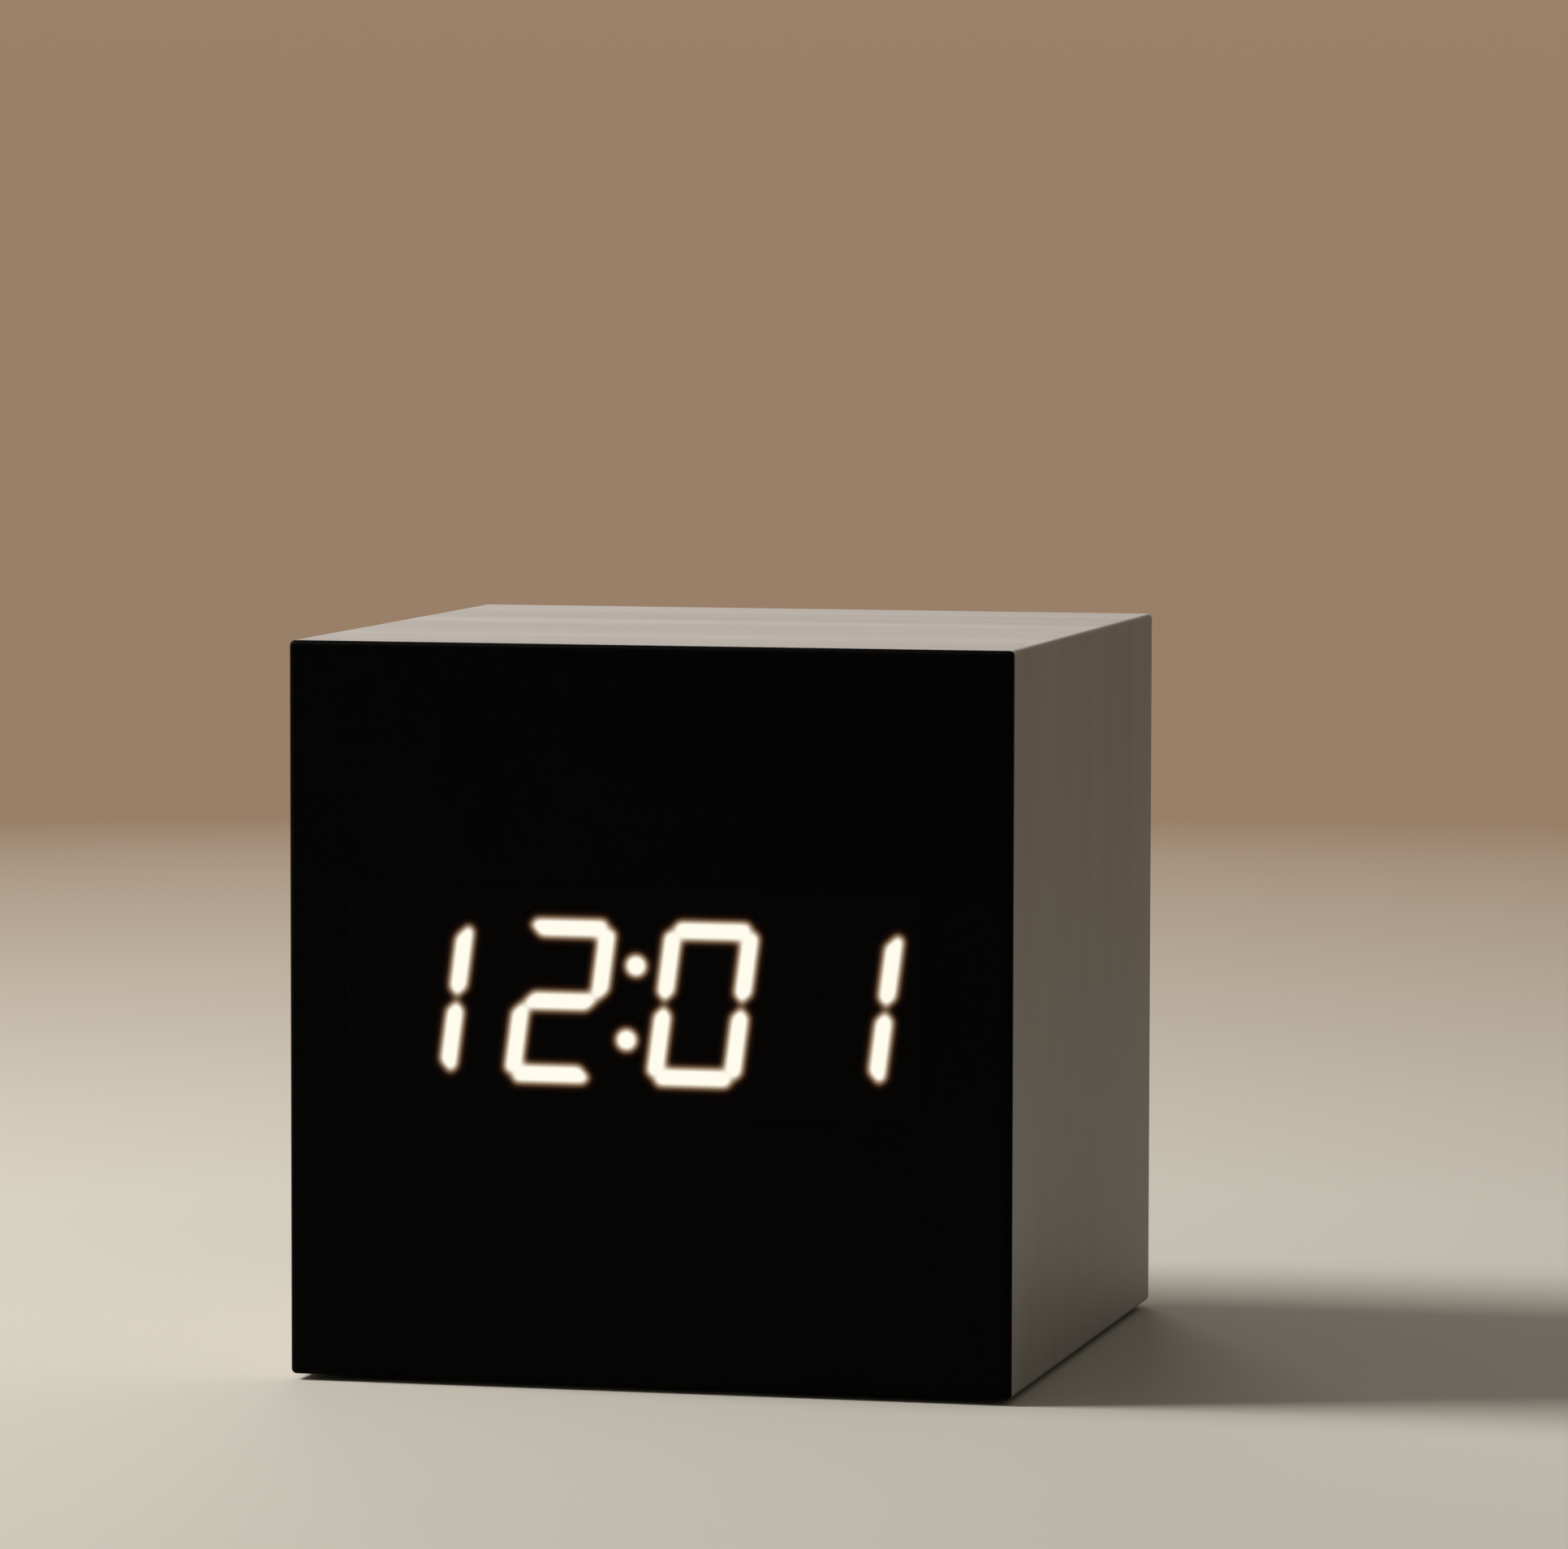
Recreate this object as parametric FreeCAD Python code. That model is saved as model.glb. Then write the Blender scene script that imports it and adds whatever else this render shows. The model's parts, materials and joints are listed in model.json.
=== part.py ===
import FreeCAD, Part
import math
import os
from FreeCAD import Vector

# A desk clock: a 63 mm cube of fibreboard wrapped in brushed silver film, with a
# smoked front that an LED digit module shines through, and buttons, a power socket
# and a bay for three AAA cells in its rear panel.
# Millimetres. X runs right, Y runs back from the front face, Z runs up, and the
# origin is at the middle of the base, on the surface that the clock stands on.

# ---- case ----
SIDE = 63.0                      # edge of the cube, over its films
PAD_THICK = 0.5                  # stick-on pads under the cube
PAD_R = 4.5
PAD_AT = 24.5                    # pads' distance from the middle, both ways
FILM = 0.3                       # thickness of the wrapped films
WALL = 4.5                       # film and board together
EDGE_R = 0.45                    # rounding of the outer edges
FRONT_LAP = 0.5                  # how far the front's film reaches back round the edges
CORE_R = 0.2                     # rounding of the boards under the film
HALF = SIDE / 2
INNER = HALF - WALL              # half the width of the room inside
MID_Z = PAD_THICK + HALF         # height of the cube's centre
FLOOR_Z = MID_Z - INNER          # the bottom board's upper face
CEILING_Z = MID_Z + INNER        # the top board's lower face
PAST = 1.0                       # how far a cutting shape runs past what it cuts

# ---- corner blocks and the rear panel's screws ----
BLOCK = 6.0
BLOCK_Y = (14.0, 28.0)
SCREW_AT = INNER - BLOCK / 2     # screws' distance from the middle, both ways
SCREW_R = 1.1
SCREW_LONG = 10.0
HEAD_R = 2.3
HEAD_DEEP = 1.2

# ---- rear panel ----
PANEL_Y = (28.0, 30.0)           # its inner and outer faces
PANEL_HALF = INNER - 0.15
BAY_HALF_X = 25.1                # battery bay, inside
BAY_Z = (12.6, 45.6)
BAY_FLOOR_Y = 17.6
TRAY_SKIN = 1.2
TRAY_WALL = 1.5                  # upper and lower walls, which carry the door
LEDGE = 0.7                      # what the door rests on, above and below the bay
DOOR_THICK = 1.6
DOOR_GAP = 0.2
DOOR_LIFT = 0.05                 # room under the door
SOUND_HOLES_AT = (-22.5, 50.2)   # the middle one of seven, which let the buzzer be heard
SOUND_HOLE_R = 0.45
SOUND_HOLE_PITCH = 1.7

# ---- cells and their contacts ----
CELL_R = 5.25
CELL_LONG = 43.6                 # without the button
NUB_R = 1.9
NUB_HIGH = 0.9
CELL_PITCH = 10.9
CELL_Y = 23.0
PLATE = 0.3
PLATE_WIDE = 8.0
PLATE_LIFT = 0.4                 # room between the plates and the bay's floor
TAB_WIDE = 3.0                   # the two tabs that the wires are soldered to
TAB_END_Y = 14.4
TAB_GAP = 0.05
SPRING_ROOM = 4.2                # from a plate to the flat end of its cell
SPRING_WIRE_R = 0.25
SPRING_R = (3.4, 2.6)            # at the plate and at the cell
SPRING_TURNS = 4

# ---- buttons, along the top of the rear panel ----
BUTTON_X = (-11.0, -3.0, 5.0)
BUTTON_NAMES = ("set", "up", "down")
TOP_ROW_Z = 53.0
BUTTON_R = 2.5
BUTTON_HOLE_R = 2.65
FLANGE_R = 3.2
FLANGE_Y = (27.1, 27.9)
BUTTON_TIP_Y = 30.8
SWITCH = 6.0
SWITCH_Y = (22.1, 25.5)
PLUNGER_R = 1.7
PLUNGER_HOLE_R = 1.85
PLUNGER_IN_Y = 24.5              # the plunger's inner end
PLUNGER_HOLE_Y = 23.6            # the bottom of its hole in the switch
BOARD_THICK = 1.6
BUTTON_BOARD_X = (-19.0, 12.3)
BUTTON_BOARD_Z = (48.2, 57.8)
BOSS_X = (-16.4, 10.2)           # bosses that the button board is screwed to
BOSS_R = 1.8
SMALL_SCREW_R = 0.75
SMALL_SCREW_HOLE_R = 1.1

# ---- power socket ----
SOCKET_X = 16.0
SOCKET_WIDE = 6.5
SOCKET_BACK_Y = 17.6
SOCKET_BORE_R = 1.8
SOCKET_BORE_Y = 18.5
SOCKET_HOLE_R = 2.6
SOCKET_PIN_R = 0.65
SOCKET_PIN_Y = 27.0
SOCKET_ROOT_R = 0.9              # the pin's foot, in the socket's rear wall
TAG_AT = 1.8                     # each tag's distance from the pin, up or down
TAG_LONG = 2.4
TAG_THICK = 0.3

# ---- LED module: four 0.56 inch digits and a colon ----
FACE_Y = -HALF + FILM            # the module's face, against the back of the film
MODULE_X = -1.4                  # its middle, left of the cube's
MODULE_Z = MID_Z + 1.2
MODULE_WIDE = 50.3
MODULE_HIGH = 19.0
MODULE_DEEP = 8.0
DIGIT_PITCH = 12.45
DIGIT_HIGH = 14.2
SLANT = math.tan(math.radians(7.5))
BAR = 1.7                        # width of a segment
COLUMN = 3.36                    # from a digit's middle to its upright segments
MITRE = 0.06                     # how far each segment stops short of the 45 degree line
CORNER_CUT = 0.63                # how far in from the outer edge a mitred tip stands
TIP_SLOPE = 0.5
MIDDLE_GAP = 0.06                # from the middle to an upright segment's inner tip
SEGMENT_R = 0.15                 # rounding of a segment's corners
SEGMENT_DEEP = 6.5
WELL_DEEP = 7.0
COLON_R = 1.0
COLON_Z = 3.16                   # each dot's distance from the digits' middle line
CHIP = 0.8                       # side of an LED chip
SHOWN = ("bc", "abged", "abcdef", "bc")    # lit segments: 12:01

# ---- main board ----
MAIN_Y = (-22.4, -20.8)
MAIN_HALF_X = 25.0
MAIN_Z = (14.0, 54.0)
POST_X = 21.5
POST_Z = (17.5, 50.5)
POST_R = 2.6
POST_SCREW_R = 1.1
POST_HOLE_R = 1.3
POST_SCREW_IN = 3.2              # how far these screws go into the front board
PIN_OUT = 1.2                    # how far the module's pins stand out of the main board

# ---- what the main board carries, each at its (x, z) ----
CHIP_AT = (0.0, 34.0)
CHIP_WIDE = 18.0
CHIP_HIGH = 7.5
CHIP_THICK = 2.3
LEG_PITCH = 1.27
CRYSTAL_AT = (14.0, 30.0)
BUZZER_AT = (-14.0, 45.5)
MICROPHONE_AT = (15.5, 44.0)
CAPACITORS_AT = ((13.0, 23.5), (20.0, 23.5))
RESISTOR_PITCH = 2.4
RESISTOR_ROWS = (21.0, 23.0)
TRANSISTOR_PITCH = 4.0
TRANSISTORS_AT = (1.0, 44.05)    # the middle of their row
THERMISTOR_AT = (-21.0, 30.0)

# ---- wiring ----
BATTERY_HEADER = (-13.0, 18.5)
SOCKET_HEADER = (14.2, 50.5)
CABLE_HEADER = (7.0, 50.5)
CABLE_END_Z = 51.0               # where the flat cable meets the button board
HEADER_DEEP = 5.5
WIRE_R = 0.6
WIRE_APART = 2.4                 # the two wires of a header
WIRE_ON_TAG = 1.4                # how much of a wire's end lies along its tag or tab


# ---- helpers ----
def box(x0, x1, y0, y1, z0, z1):
    return Part.makeBox(x1 - x0, y1 - y0, z1 - z0, Vector(x0, y0, z0))


def rod(x, z, radius, y0, y1):
    """A round bar along Y."""
    return Part.makeCylinder(radius, y1 - y0, Vector(x, y0, z), Vector(0, 1, 0))


def post(x, y, radius, z0, z1):
    """An upright round bar."""
    return Part.makeCylinder(radius, z1 - z0, Vector(x, y, z0))


def cone(x, z, radius0, radius1, y0, y1):
    """A cone along Y."""
    return Part.makeCone(radius0, radius1, y1 - y0, Vector(x, y0, z), Vector(0, 1, 0))


def plate_of(points, y0, y1):
    """A flat piece of the outline (x, z), from y0 to y1."""
    corners = [Vector(x, y0, z) for x, z in points]
    outline = Part.makePolygon(corners + corners[:1])
    return Part.Face(outline).extrude(Vector(0, y1 - y0, 0))


def joined(first, *others):
    return first.fuse(list(others)).removeSplitter()


def rounded(shape, radius, wanted):
    """The shape with the edges that wanted() picks rounded."""
    edges = [edge for edge in shape.Edges if wanted(edge)]
    return shape.makeFillet(radius, edges)


def along_y(edge):
    first, last = edge.firstVertex().Point, edge.lastVertex().Point
    return abs(first.x - last.x) < 1e-6 and abs(first.z - last.z) < 1e-6


def at_y(level):
    """Picks the edges that lie whole at one y."""
    return lambda edge: edge.BoundBox.YLength < 1e-6 and abs(edge.BoundBox.YMin - level) < 1e-6


def four_corners(reach, middle_z):
    return [(x, middle_z + z) for x in (-reach, reach) for z in (-reach, reach)]


# ---- case ----
def rounded_cube(inset, radius):
    size = SIDE - 2 * inset
    cube = Part.makeBox(size, size, size, Vector(-size / 2, -size / 2, MID_Z - size / 2))
    return cube.makeFillet(radius, cube.Edges)


def front_region():
    """All that belongs to the front: a block that narrows at 45 degrees from behind its edges."""
    near, far = HALF + PAST, INNER - PAST
    return Part.makeWedge(
        -near, FRONT_LAP - near, MID_Z - near, MID_Z - far, -far,
        near, FRONT_LAP - far, MID_Z + near, MID_Z + far, far,
    )


def side_region(turn):
    """All that belongs to one side, turned about Y from the right-hand one."""
    near, far = HALF + PAST, INNER - PAST
    corners = [(far, MID_Z - far), (near, MID_Z - near), (near, MID_Z + near), (far, MID_Z + far)]
    region = plate_of(corners, -near, near).cut(front_region())
    region.rotate(Vector(0, 0, MID_Z), Vector(0, 1, 0), turn)
    return region


def room():
    """The space inside, open to the rear."""
    return box(-INNER, INNER, -INNER, HALF + PAST, FLOOR_Z, CEILING_Z)


def side_board(turn):
    walls = rounded_cube(FILM, CORE_R).cut(room())
    return walls.common(side_region(turn)).cut(module_window())


def module_window():
    gap = 0.15
    half_x, half_z = MODULE_WIDE / 2 + gap, MODULE_HIGH / 2 + gap
    return box(
        MODULE_X - half_x, MODULE_X + half_x, -HALF, -INNER + PAST / 2,
        MODULE_Z - half_z, MODULE_Z + half_z,
    )


def front_board():
    walls = rounded_cube(FILM, CORE_R).cut(room())
    board = walls.common(front_region()).cut(module_window())
    pilots = [rod(x, z, POST_SCREW_R, -INNER - POST_SCREW_IN, -INNER) for x, z in board_posts()]
    return board.cut(pilots)


def skin():
    return rounded_cube(0, EDGE_R).cut(rounded_cube(FILM, CORE_R))


def case_film():
    return skin().cut(front_region()).cut(room())


def front_film():
    return skin().common(front_region())


def corner_blocks():
    blocks = []
    half = BLOCK / 2
    for x, z in four_corners(SCREW_AT, MID_Z):
        block = box(x - half, x + half, *BLOCK_Y, z - half, z + half)
        blocks.append(block.cut(rod(x, z, SCREW_R, PANEL_Y[1] - SCREW_LONG, BLOCK_Y[1])))
    return Part.makeCompound(blocks)


def foot_pads():
    corners = [(x, y) for x in (-PAD_AT, PAD_AT) for y in (-PAD_AT, PAD_AT)]
    return Part.makeCompound([post(x, y, PAD_R, 0, PAD_THICK) for x, y in corners])


def countersunk_screw(x, z):
    """A screw whose head is flush with the panel, with a cross recess."""
    outer = PANEL_Y[1]
    head = cone(x, z, SCREW_R, HEAD_R, outer - HEAD_DEEP, outer)
    shank = rod(x, z, SCREW_R, outer - SCREW_LONG, outer - HEAD_DEEP)
    half, thin, deep = 1.3, 0.28, 0.8
    recess = [
        box(x - half, x + half, outer - deep, outer + PAST, z - thin, z + thin),
        box(x - thin, x + thin, outer - deep, outer + PAST, z - half, z + half),
    ]
    return joined(head, shank).cut(recess)


def rear_screws():
    return Part.makeCompound([countersunk_screw(x, z) for x, z in four_corners(SCREW_AT, MID_Z)])


# ---- rear panel ----
def door_seat_z():
    return BAY_Z[0] - LEDGE, BAY_Z[1] + LEDGE


def battery_tray():
    """The battery bay's walls, its floor and the two ribs between the cells."""
    low, high = BAY_Z[0] - TRAY_WALL, BAY_Z[1] + TRAY_WALL
    outer_x = BAY_HALF_X + TRAY_SKIN
    body = box(-outer_x, outer_x, BAY_FLOOR_Y - TRAY_SKIN, PANEL_Y[0], low, high)
    seat = PANEL_Y[1] - DOOR_THICK - DOOR_LIFT
    ledges = [
        box(-BAY_HALF_X, BAY_HALF_X, PANEL_Y[0], seat, BAY_Z[0] - LEDGE, BAY_Z[0]),
        box(-BAY_HALF_X, BAY_HALF_X, PANEL_Y[0], seat, BAY_Z[1], BAY_Z[1] + LEDGE),
    ]
    bay = box(-BAY_HALF_X, BAY_HALF_X, BAY_FLOOR_Y, PANEL_Y[1] + PAST, *BAY_Z)
    rib_half, rib_high, rib_long = 0.5, 2.4, 21.0
    middle = sum(BAY_Z) / 2
    ribs = [
        box(-rib_long, rib_long, BAY_FLOOR_Y, BAY_FLOOR_Y + rib_high,
            middle + side * CELL_PITCH / 2 - rib_half, middle + side * CELL_PITCH / 2 + rib_half)
        for side in (-1, 1)
    ]
    return joined(joined(body, *ledges).cut(bay), *ribs).cut(tab_slots())


def cell_heights():
    middle = sum(BAY_Z) / 2
    return [middle + step * CELL_PITCH for step in (-1, 0, 1)]


def tab_slots():
    """Slots in the bay's floor for the two contacts that the wires are soldered to."""
    half = TAB_WIDE / 2 + TAB_GAP
    inner_x = BAY_HALF_X - PLATE - TAB_GAP
    return [
        box(*sorted((side * BAY_HALF_X, side * inner_x)),
            BAY_FLOOR_Y - TRAY_SKIN - PAST, BAY_FLOOR_Y + PAST, z - half, z + half)
        for side, z in tab_places()
    ]


def tab_places():
    heights = cell_heights()
    return [(-1, heights[0]), (1, heights[2])]


def arrowhead(x, z, way, size, y0, y1):
    tip, foot = z + way * size * 0.9, z - way * size * 0.7
    return plate_of([(x, tip), (x - size, foot), (x + size, foot)], y0, y1)


def symbols():
    """Raised marks above the buttons: a ring for set, and arrowheads for up and down."""
    high, size = 0.25, 1.1
    z = TOP_ROW_Z + BUTTON_HOLE_R + 1.6
    y0, y1 = PANEL_Y[1], PANEL_Y[1] + high
    set_x, up_x, down_x = BUTTON_X
    ring = rod(set_x, z, size, y0, y1).cut(rod(set_x, z, size * 0.55, y0, y1))
    return [ring, arrowhead(up_x, z, 1, size, y0, y1), arrowhead(down_x, z, -1, size, y0, y1)]


def socket_cheeks():
    """The two walls that hold the power socket between them."""
    near, far = SOCKET_WIDE / 2 + 0.15, SOCKET_WIDE / 2 + 1.1
    deep, half_high = 5.0, 3.0
    return [
        box(*sorted((SOCKET_X + side * near, SOCKET_X + side * far)),
            PANEL_Y[0] - deep, PANEL_Y[0], TOP_ROW_Z - half_high, TOP_ROW_Z + half_high)
        for side in (-1, 1)
    ]


def through_panel(x, z, radius):
    return rod(x, z, radius, PANEL_Y[0] - PAST, PANEL_Y[1] + PAST)


def sound_holes():
    """Seven small holes: one in the middle, and six round it."""
    x, z = SOUND_HOLES_AT
    around = [math.tau * step / 6 for step in range(6)]
    ring = [
        (x + SOUND_HOLE_PITCH * math.cos(turn), z + SOUND_HOLE_PITCH * math.sin(turn))
        for turn in around
    ]
    return [through_panel(*place, SOUND_HOLE_R) for place in [(x, z)] + ring]


def panel_screw_holes():
    holes = []
    for x, z in four_corners(SCREW_AT, MID_Z):
        holes.append(rod(x, z, SCREW_R, PANEL_Y[0] - PAST, PANEL_Y[1]))
        holes.append(cone(x, z, SCREW_R, HEAD_R, PANEL_Y[1] - HEAD_DEEP, PANEL_Y[1]))
    return holes


def thumb_notch():
    """A shallow round hollow above the door, for the thumb that opens it."""
    radius, rise, deep = 6.2, 3.3, 1.0
    low, high = door_seat_z()
    disc = rod(0, high + rise - radius, radius, PANEL_Y[1] - deep, PANEL_Y[1] + PAST)
    return disc.cut(box(-radius, radius, PANEL_Y[0], PANEL_Y[1] + 2 * PAST, low, high))


def rear_panel():
    low, high = door_seat_z()
    inner, outer = PANEL_Y
    plate = box(-PANEL_HALF, PANEL_HALF, inner, outer, MID_Z - PANEL_HALF, MID_Z + PANEL_HALF)
    plate = plate.cut(box(-BAY_HALF_X, BAY_HALF_X, inner - PAST, outer + PAST, low, high))
    panel = joined(plate, *symbols())
    holes = [through_panel(x, TOP_ROW_Z, BUTTON_HOLE_R) for x in BUTTON_X]
    holes += [through_panel(SOCKET_X, TOP_ROW_Z, SOCKET_HOLE_R), thumb_notch()]
    return panel.cut(holes + panel_screw_holes() + sound_holes())


def panel_posts():
    """What stands behind the panel: bosses for the button board, and the socket's cheeks."""
    inner = PANEL_Y[0]
    bosses = [rod(x, TOP_ROW_Z, BOSS_R, SWITCH_Y[0], inner) for x in BOSS_X]
    holes = [rod(x, TOP_ROW_Z, SMALL_SCREW_R, SWITCH_Y[0] - PAST, inner - PAST) for x in BOSS_X]
    drilled = [boss.cut(hole) for boss, hole in zip(bosses, holes)]
    return Part.makeCompound(drilled + socket_cheeks())


def battery_door():
    """The bay's cover: a plate with a springy tongue at its upper edge and grip ribs."""
    low, high = door_seat_z()
    outer = PANEL_Y[1]
    inner = outer - DOOR_THICK
    half = BAY_HALF_X - DOOR_GAP
    door = box(-half, half, inner, outer, low + DOOR_GAP, high - DOOR_GAP)
    door = rounded(door, 0.5, along_y)
    door = rounded(door, 0.25, at_y(outer))
    top = high - DOOR_GAP
    slot_half, slot_wide, slot_deep = 6.0, 0.9, 7.0
    slots = [
        box(*sorted((side * slot_half, side * (slot_half - slot_wide))),
            inner - PAST, outer + PAST, top - slot_deep, top + PAST)
        for side in (-1, 1)
    ]
    rib_half_x, rib_half_z, rib_high, rib_root = 4.0, 0.3, 0.3, 0.2
    rib_first, rib_pitch = 1.6, 1.3
    ribs = [
        box(-rib_half_x, rib_half_x, outer - rib_root, outer + rib_high, z - rib_half_z, z + rib_half_z)
        for z in [top - rib_first - step * rib_pitch for step in range(4)]
    ]
    return joined(door, *ribs).cut(slots)


# ---- cells ----
def cell_way(row):
    """Which way a cell points. They lie in turn, button left and button right."""
    return -1 if row % 2 == 0 else 1


def flat_end_x(row):
    return -cell_way(row) * (BAY_HALF_X - PLATE - SPRING_ROOM)


def cell(row):
    """One AAA cell, with its button."""
    middle = Vector(flat_end_x(row), CELL_Y, cell_heights()[row])
    axis = Vector(cell_way(row), 0, 0)
    can = Part.makeCylinder(CELL_R, CELL_LONG, middle, axis)
    can = rounded(can, 0.5, lambda edge: edge.BoundBox.XLength < 1e-6)
    nub = Part.makeCylinder(NUB_R, NUB_HIGH, middle + axis * CELL_LONG, axis)
    return joined(can, nub)


def coil(high, radius0, radius1, turns):
    """A conical wire coil about Z, as flat facets: six sides round, fourteen steps a turn."""
    sides, steps = 6, 14 * turns
    rings = []
    for step in range(steps + 1):
        share = step / steps
        angle = math.tau * turns * share
        radius = radius0 + (radius1 - radius0) * share
        out = Vector(math.cos(angle), math.sin(angle), 0)
        centre = out * radius + Vector(0, 0, high * share)
        ring = []
        for side in range(sides):
            lean = math.tau * side / sides
            reach = out * math.cos(lean) + Vector(0, 0, math.sin(lean))
            ring.append(centre + reach * SPRING_WIRE_R)
        rings.append(ring)
    facets = [rings[0], rings[-1]]
    for ring, after in zip(rings, rings[1:]):
        for side in range(sides):
            beside = (side + 1) % sides
            facets.append([ring[side], ring[beside], after[beside]])
            facets.append([ring[side], after[beside], after[side]])
    faces = [Part.Face(Part.makePolygon(facet + facet[:1])) for facet in facets]
    shell = Part.makeShell(faces)
    shell.sewShape()
    return Part.makeSolid(shell)


def battery_springs():
    springs = []
    for row, z in enumerate(cell_heights()):
        way = cell_way(row)
        foot_x = flat_end_x(row) - way * (SPRING_ROOM - SPRING_WIRE_R)
        spring = coil(SPRING_ROOM - 2 * SPRING_WIRE_R, *SPRING_R, SPRING_TURNS)
        spring.rotate(Vector(0, 0, 0), Vector(0, 1, 0), 90 * way)
        spring.translate(Vector(foot_x, CELL_Y, z))
        springs.append(spring)
    return Part.makeCompound(springs)


def battery_contacts():
    """Plates at both ends of each cell; two of them reach through the floor as tabs."""
    plates = []
    foot_y = BAY_FLOOR_Y + PLATE_LIFT
    half, tab_half = PLATE_WIDE / 2, TAB_WIDE / 2
    for z in cell_heights():
        for side in (-1, 1):
            across = sorted((side * BAY_HALF_X, side * (BAY_HALF_X - PLATE)))
            shape = box(*across, foot_y, CELL_Y + half, z - half, z + half)
            if (side, z) in tab_places():
                tab = box(*across, TAB_END_Y, foot_y + PLATE, z - tab_half, z + tab_half)
                shape = joined(shape, tab)
            plates.append(shape)
    return Part.makeCompound(plates)


# ---- buttons ----
def button_cap(x):
    stem = rod(x, TOP_ROW_Z, BUTTON_R, FLANGE_Y[0], BUTTON_TIP_Y)
    stem = rounded(stem, 0.5, at_y(BUTTON_TIP_Y))
    dish_r, dish_deep = 9.0, 0.22
    dish = Part.makeSphere(dish_r, Vector(x, BUTTON_TIP_Y + dish_r - dish_deep, TOP_ROW_Z))
    return joined(stem, rod(x, TOP_ROW_Z, FLANGE_R, *FLANGE_Y)).cut(dish)


def plunger(x):
    shape = rod(x, TOP_ROW_Z, PLUNGER_R, PLUNGER_IN_Y, FLANGE_Y[0])
    return rounded(shape, 0.2, at_y(FLANGE_Y[0]))


def switch_bodies():
    switches = []
    for x in BUTTON_X:
        half = SWITCH / 2
        body = box(x - half, x + half, *SWITCH_Y, TOP_ROW_Z - half, TOP_ROW_Z + half)
        body = rounded(body, 0.4, along_y)
        switches.append(body.cut(rod(x, TOP_ROW_Z, PLUNGER_HOLE_R, PLUNGER_HOLE_Y, SWITCH_Y[1])))
    return Part.makeCompound(switches)


def button_board():
    thickness = (SWITCH_Y[0] - BOARD_THICK, SWITCH_Y[0])
    board = box(*BUTTON_BOARD_X, *thickness, *BUTTON_BOARD_Z)
    board = rounded(board, 0.8, along_y)
    return board.cut([rod(x, TOP_ROW_Z, SMALL_SCREW_HOLE_R, *thickness) for x in BOSS_X])


def pan_screw(x, z, seat_y, way, head_r, shank_r, long):
    """A screw with a domed head on seat_y and a shank that runs way (1 or -1) along Y."""
    high = head_r * 0.62
    head = rod(x, z, head_r, *sorted((seat_y, seat_y - way * high)))
    head = rounded(head, high * 0.6, at_y(seat_y - way * high))
    shank = rod(x, z, shank_r, *sorted((seat_y, seat_y + way * long)))
    half, thin = head_r * 0.6, head_r * 0.13
    deep = sorted((seat_y - way * high, seat_y - way * high * 0.45))
    cross = [
        box(x - half, x + half, *deep, z - thin, z + thin),
        box(x - thin, x + thin, *deep, z - half, z + half),
    ]
    return joined(head, shank).cut(cross)


def button_board_screws():
    seat, head_r, long = SWITCH_Y[0] - BOARD_THICK, 1.7, 5.0
    return Part.makeCompound([
        pan_screw(x, TOP_ROW_Z, seat, 1, head_r, SMALL_SCREW_R, long) for x in BOSS_X
    ])


# ---- power socket ----
def dc_socket():
    half, mouth = SOCKET_WIDE / 2, PANEL_Y[0]
    body = box(
        SOCKET_X - half, SOCKET_X + half, SOCKET_BACK_Y, mouth,
        TOP_ROW_Z - half, TOP_ROW_Z + half,
    )
    body = rounded(body, 0.4, along_y)
    bore = rod(SOCKET_X, TOP_ROW_Z, SOCKET_BORE_R, SOCKET_BORE_Y, mouth)
    return body.cut([bore, socket_pin_root()])


def socket_pin_root():
    return rod(SOCKET_X, TOP_ROW_Z, SOCKET_ROOT_R, SOCKET_BACK_Y, SOCKET_BORE_Y)


def dc_socket_pin():
    pin = rod(SOCKET_X, TOP_ROW_Z, SOCKET_PIN_R, SOCKET_BORE_Y, SOCKET_PIN_Y)
    pin = rounded(pin, 0.3, at_y(SOCKET_PIN_Y))
    return joined(pin, socket_pin_root())


def socket_tag_places():
    return [(SOCKET_X, TOP_ROW_Z + TAG_AT), (SOCKET_X, TOP_ROW_Z - TAG_AT)]


def dc_socket_tags():
    half_x, half_z = 0.9, TAG_THICK / 2
    return Part.makeCompound([
        box(x - half_x, x + half_x, SOCKET_BACK_Y - TAG_LONG, SOCKET_BACK_Y, z - half_z, z + half_z)
        for x, z in socket_tag_places()
    ])


# ---- LED module ----
def segment_outlines():
    """Outlines (across, up) from a digit's middle, before the slant, by segment letter.

    Every tip is cut at 45 degrees.
    """
    half = BAR / 2
    top = DIGIT_HIGH / 2 - half
    tip_u, tip_v = COLUMN + half - CORNER_CUT, top + half - CORNER_CUT
    a_right = [
        (COLUMN - half - MITRE, top - half), (tip_u - MITRE, tip_v),
        (tip_u - MITRE - TIP_SLOPE, top + half),
    ]
    a = a_right + [(-u, v) for u, v in reversed(a_right)]
    b = [
        (COLUMN, MIDDLE_GAP), (COLUMN + half, MIDDLE_GAP + half),
        (COLUMN + half, tip_v - MITRE - TIP_SLOPE), (tip_u, tip_v - MITRE),
        (COLUMN - half, top - half - MITRE), (COLUMN - half, MIDDLE_GAP + half),
    ]
    reach = COLUMN - MITRE
    g = [
        (reach, 0), (reach - half, half), (half - reach, half),
        (-reach, 0), (half - reach, -half), (reach - half, -half),
    ]
    return {
        "a": a,
        "b": b,
        "c": [(u, -v) for u, v in b],
        "d": [(u, -v) for u, v in a],
        "e": [(-u, -v) for u, v in b],
        "f": [(-u, v) for u, v in b],
        "g": g,
    }


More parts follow.
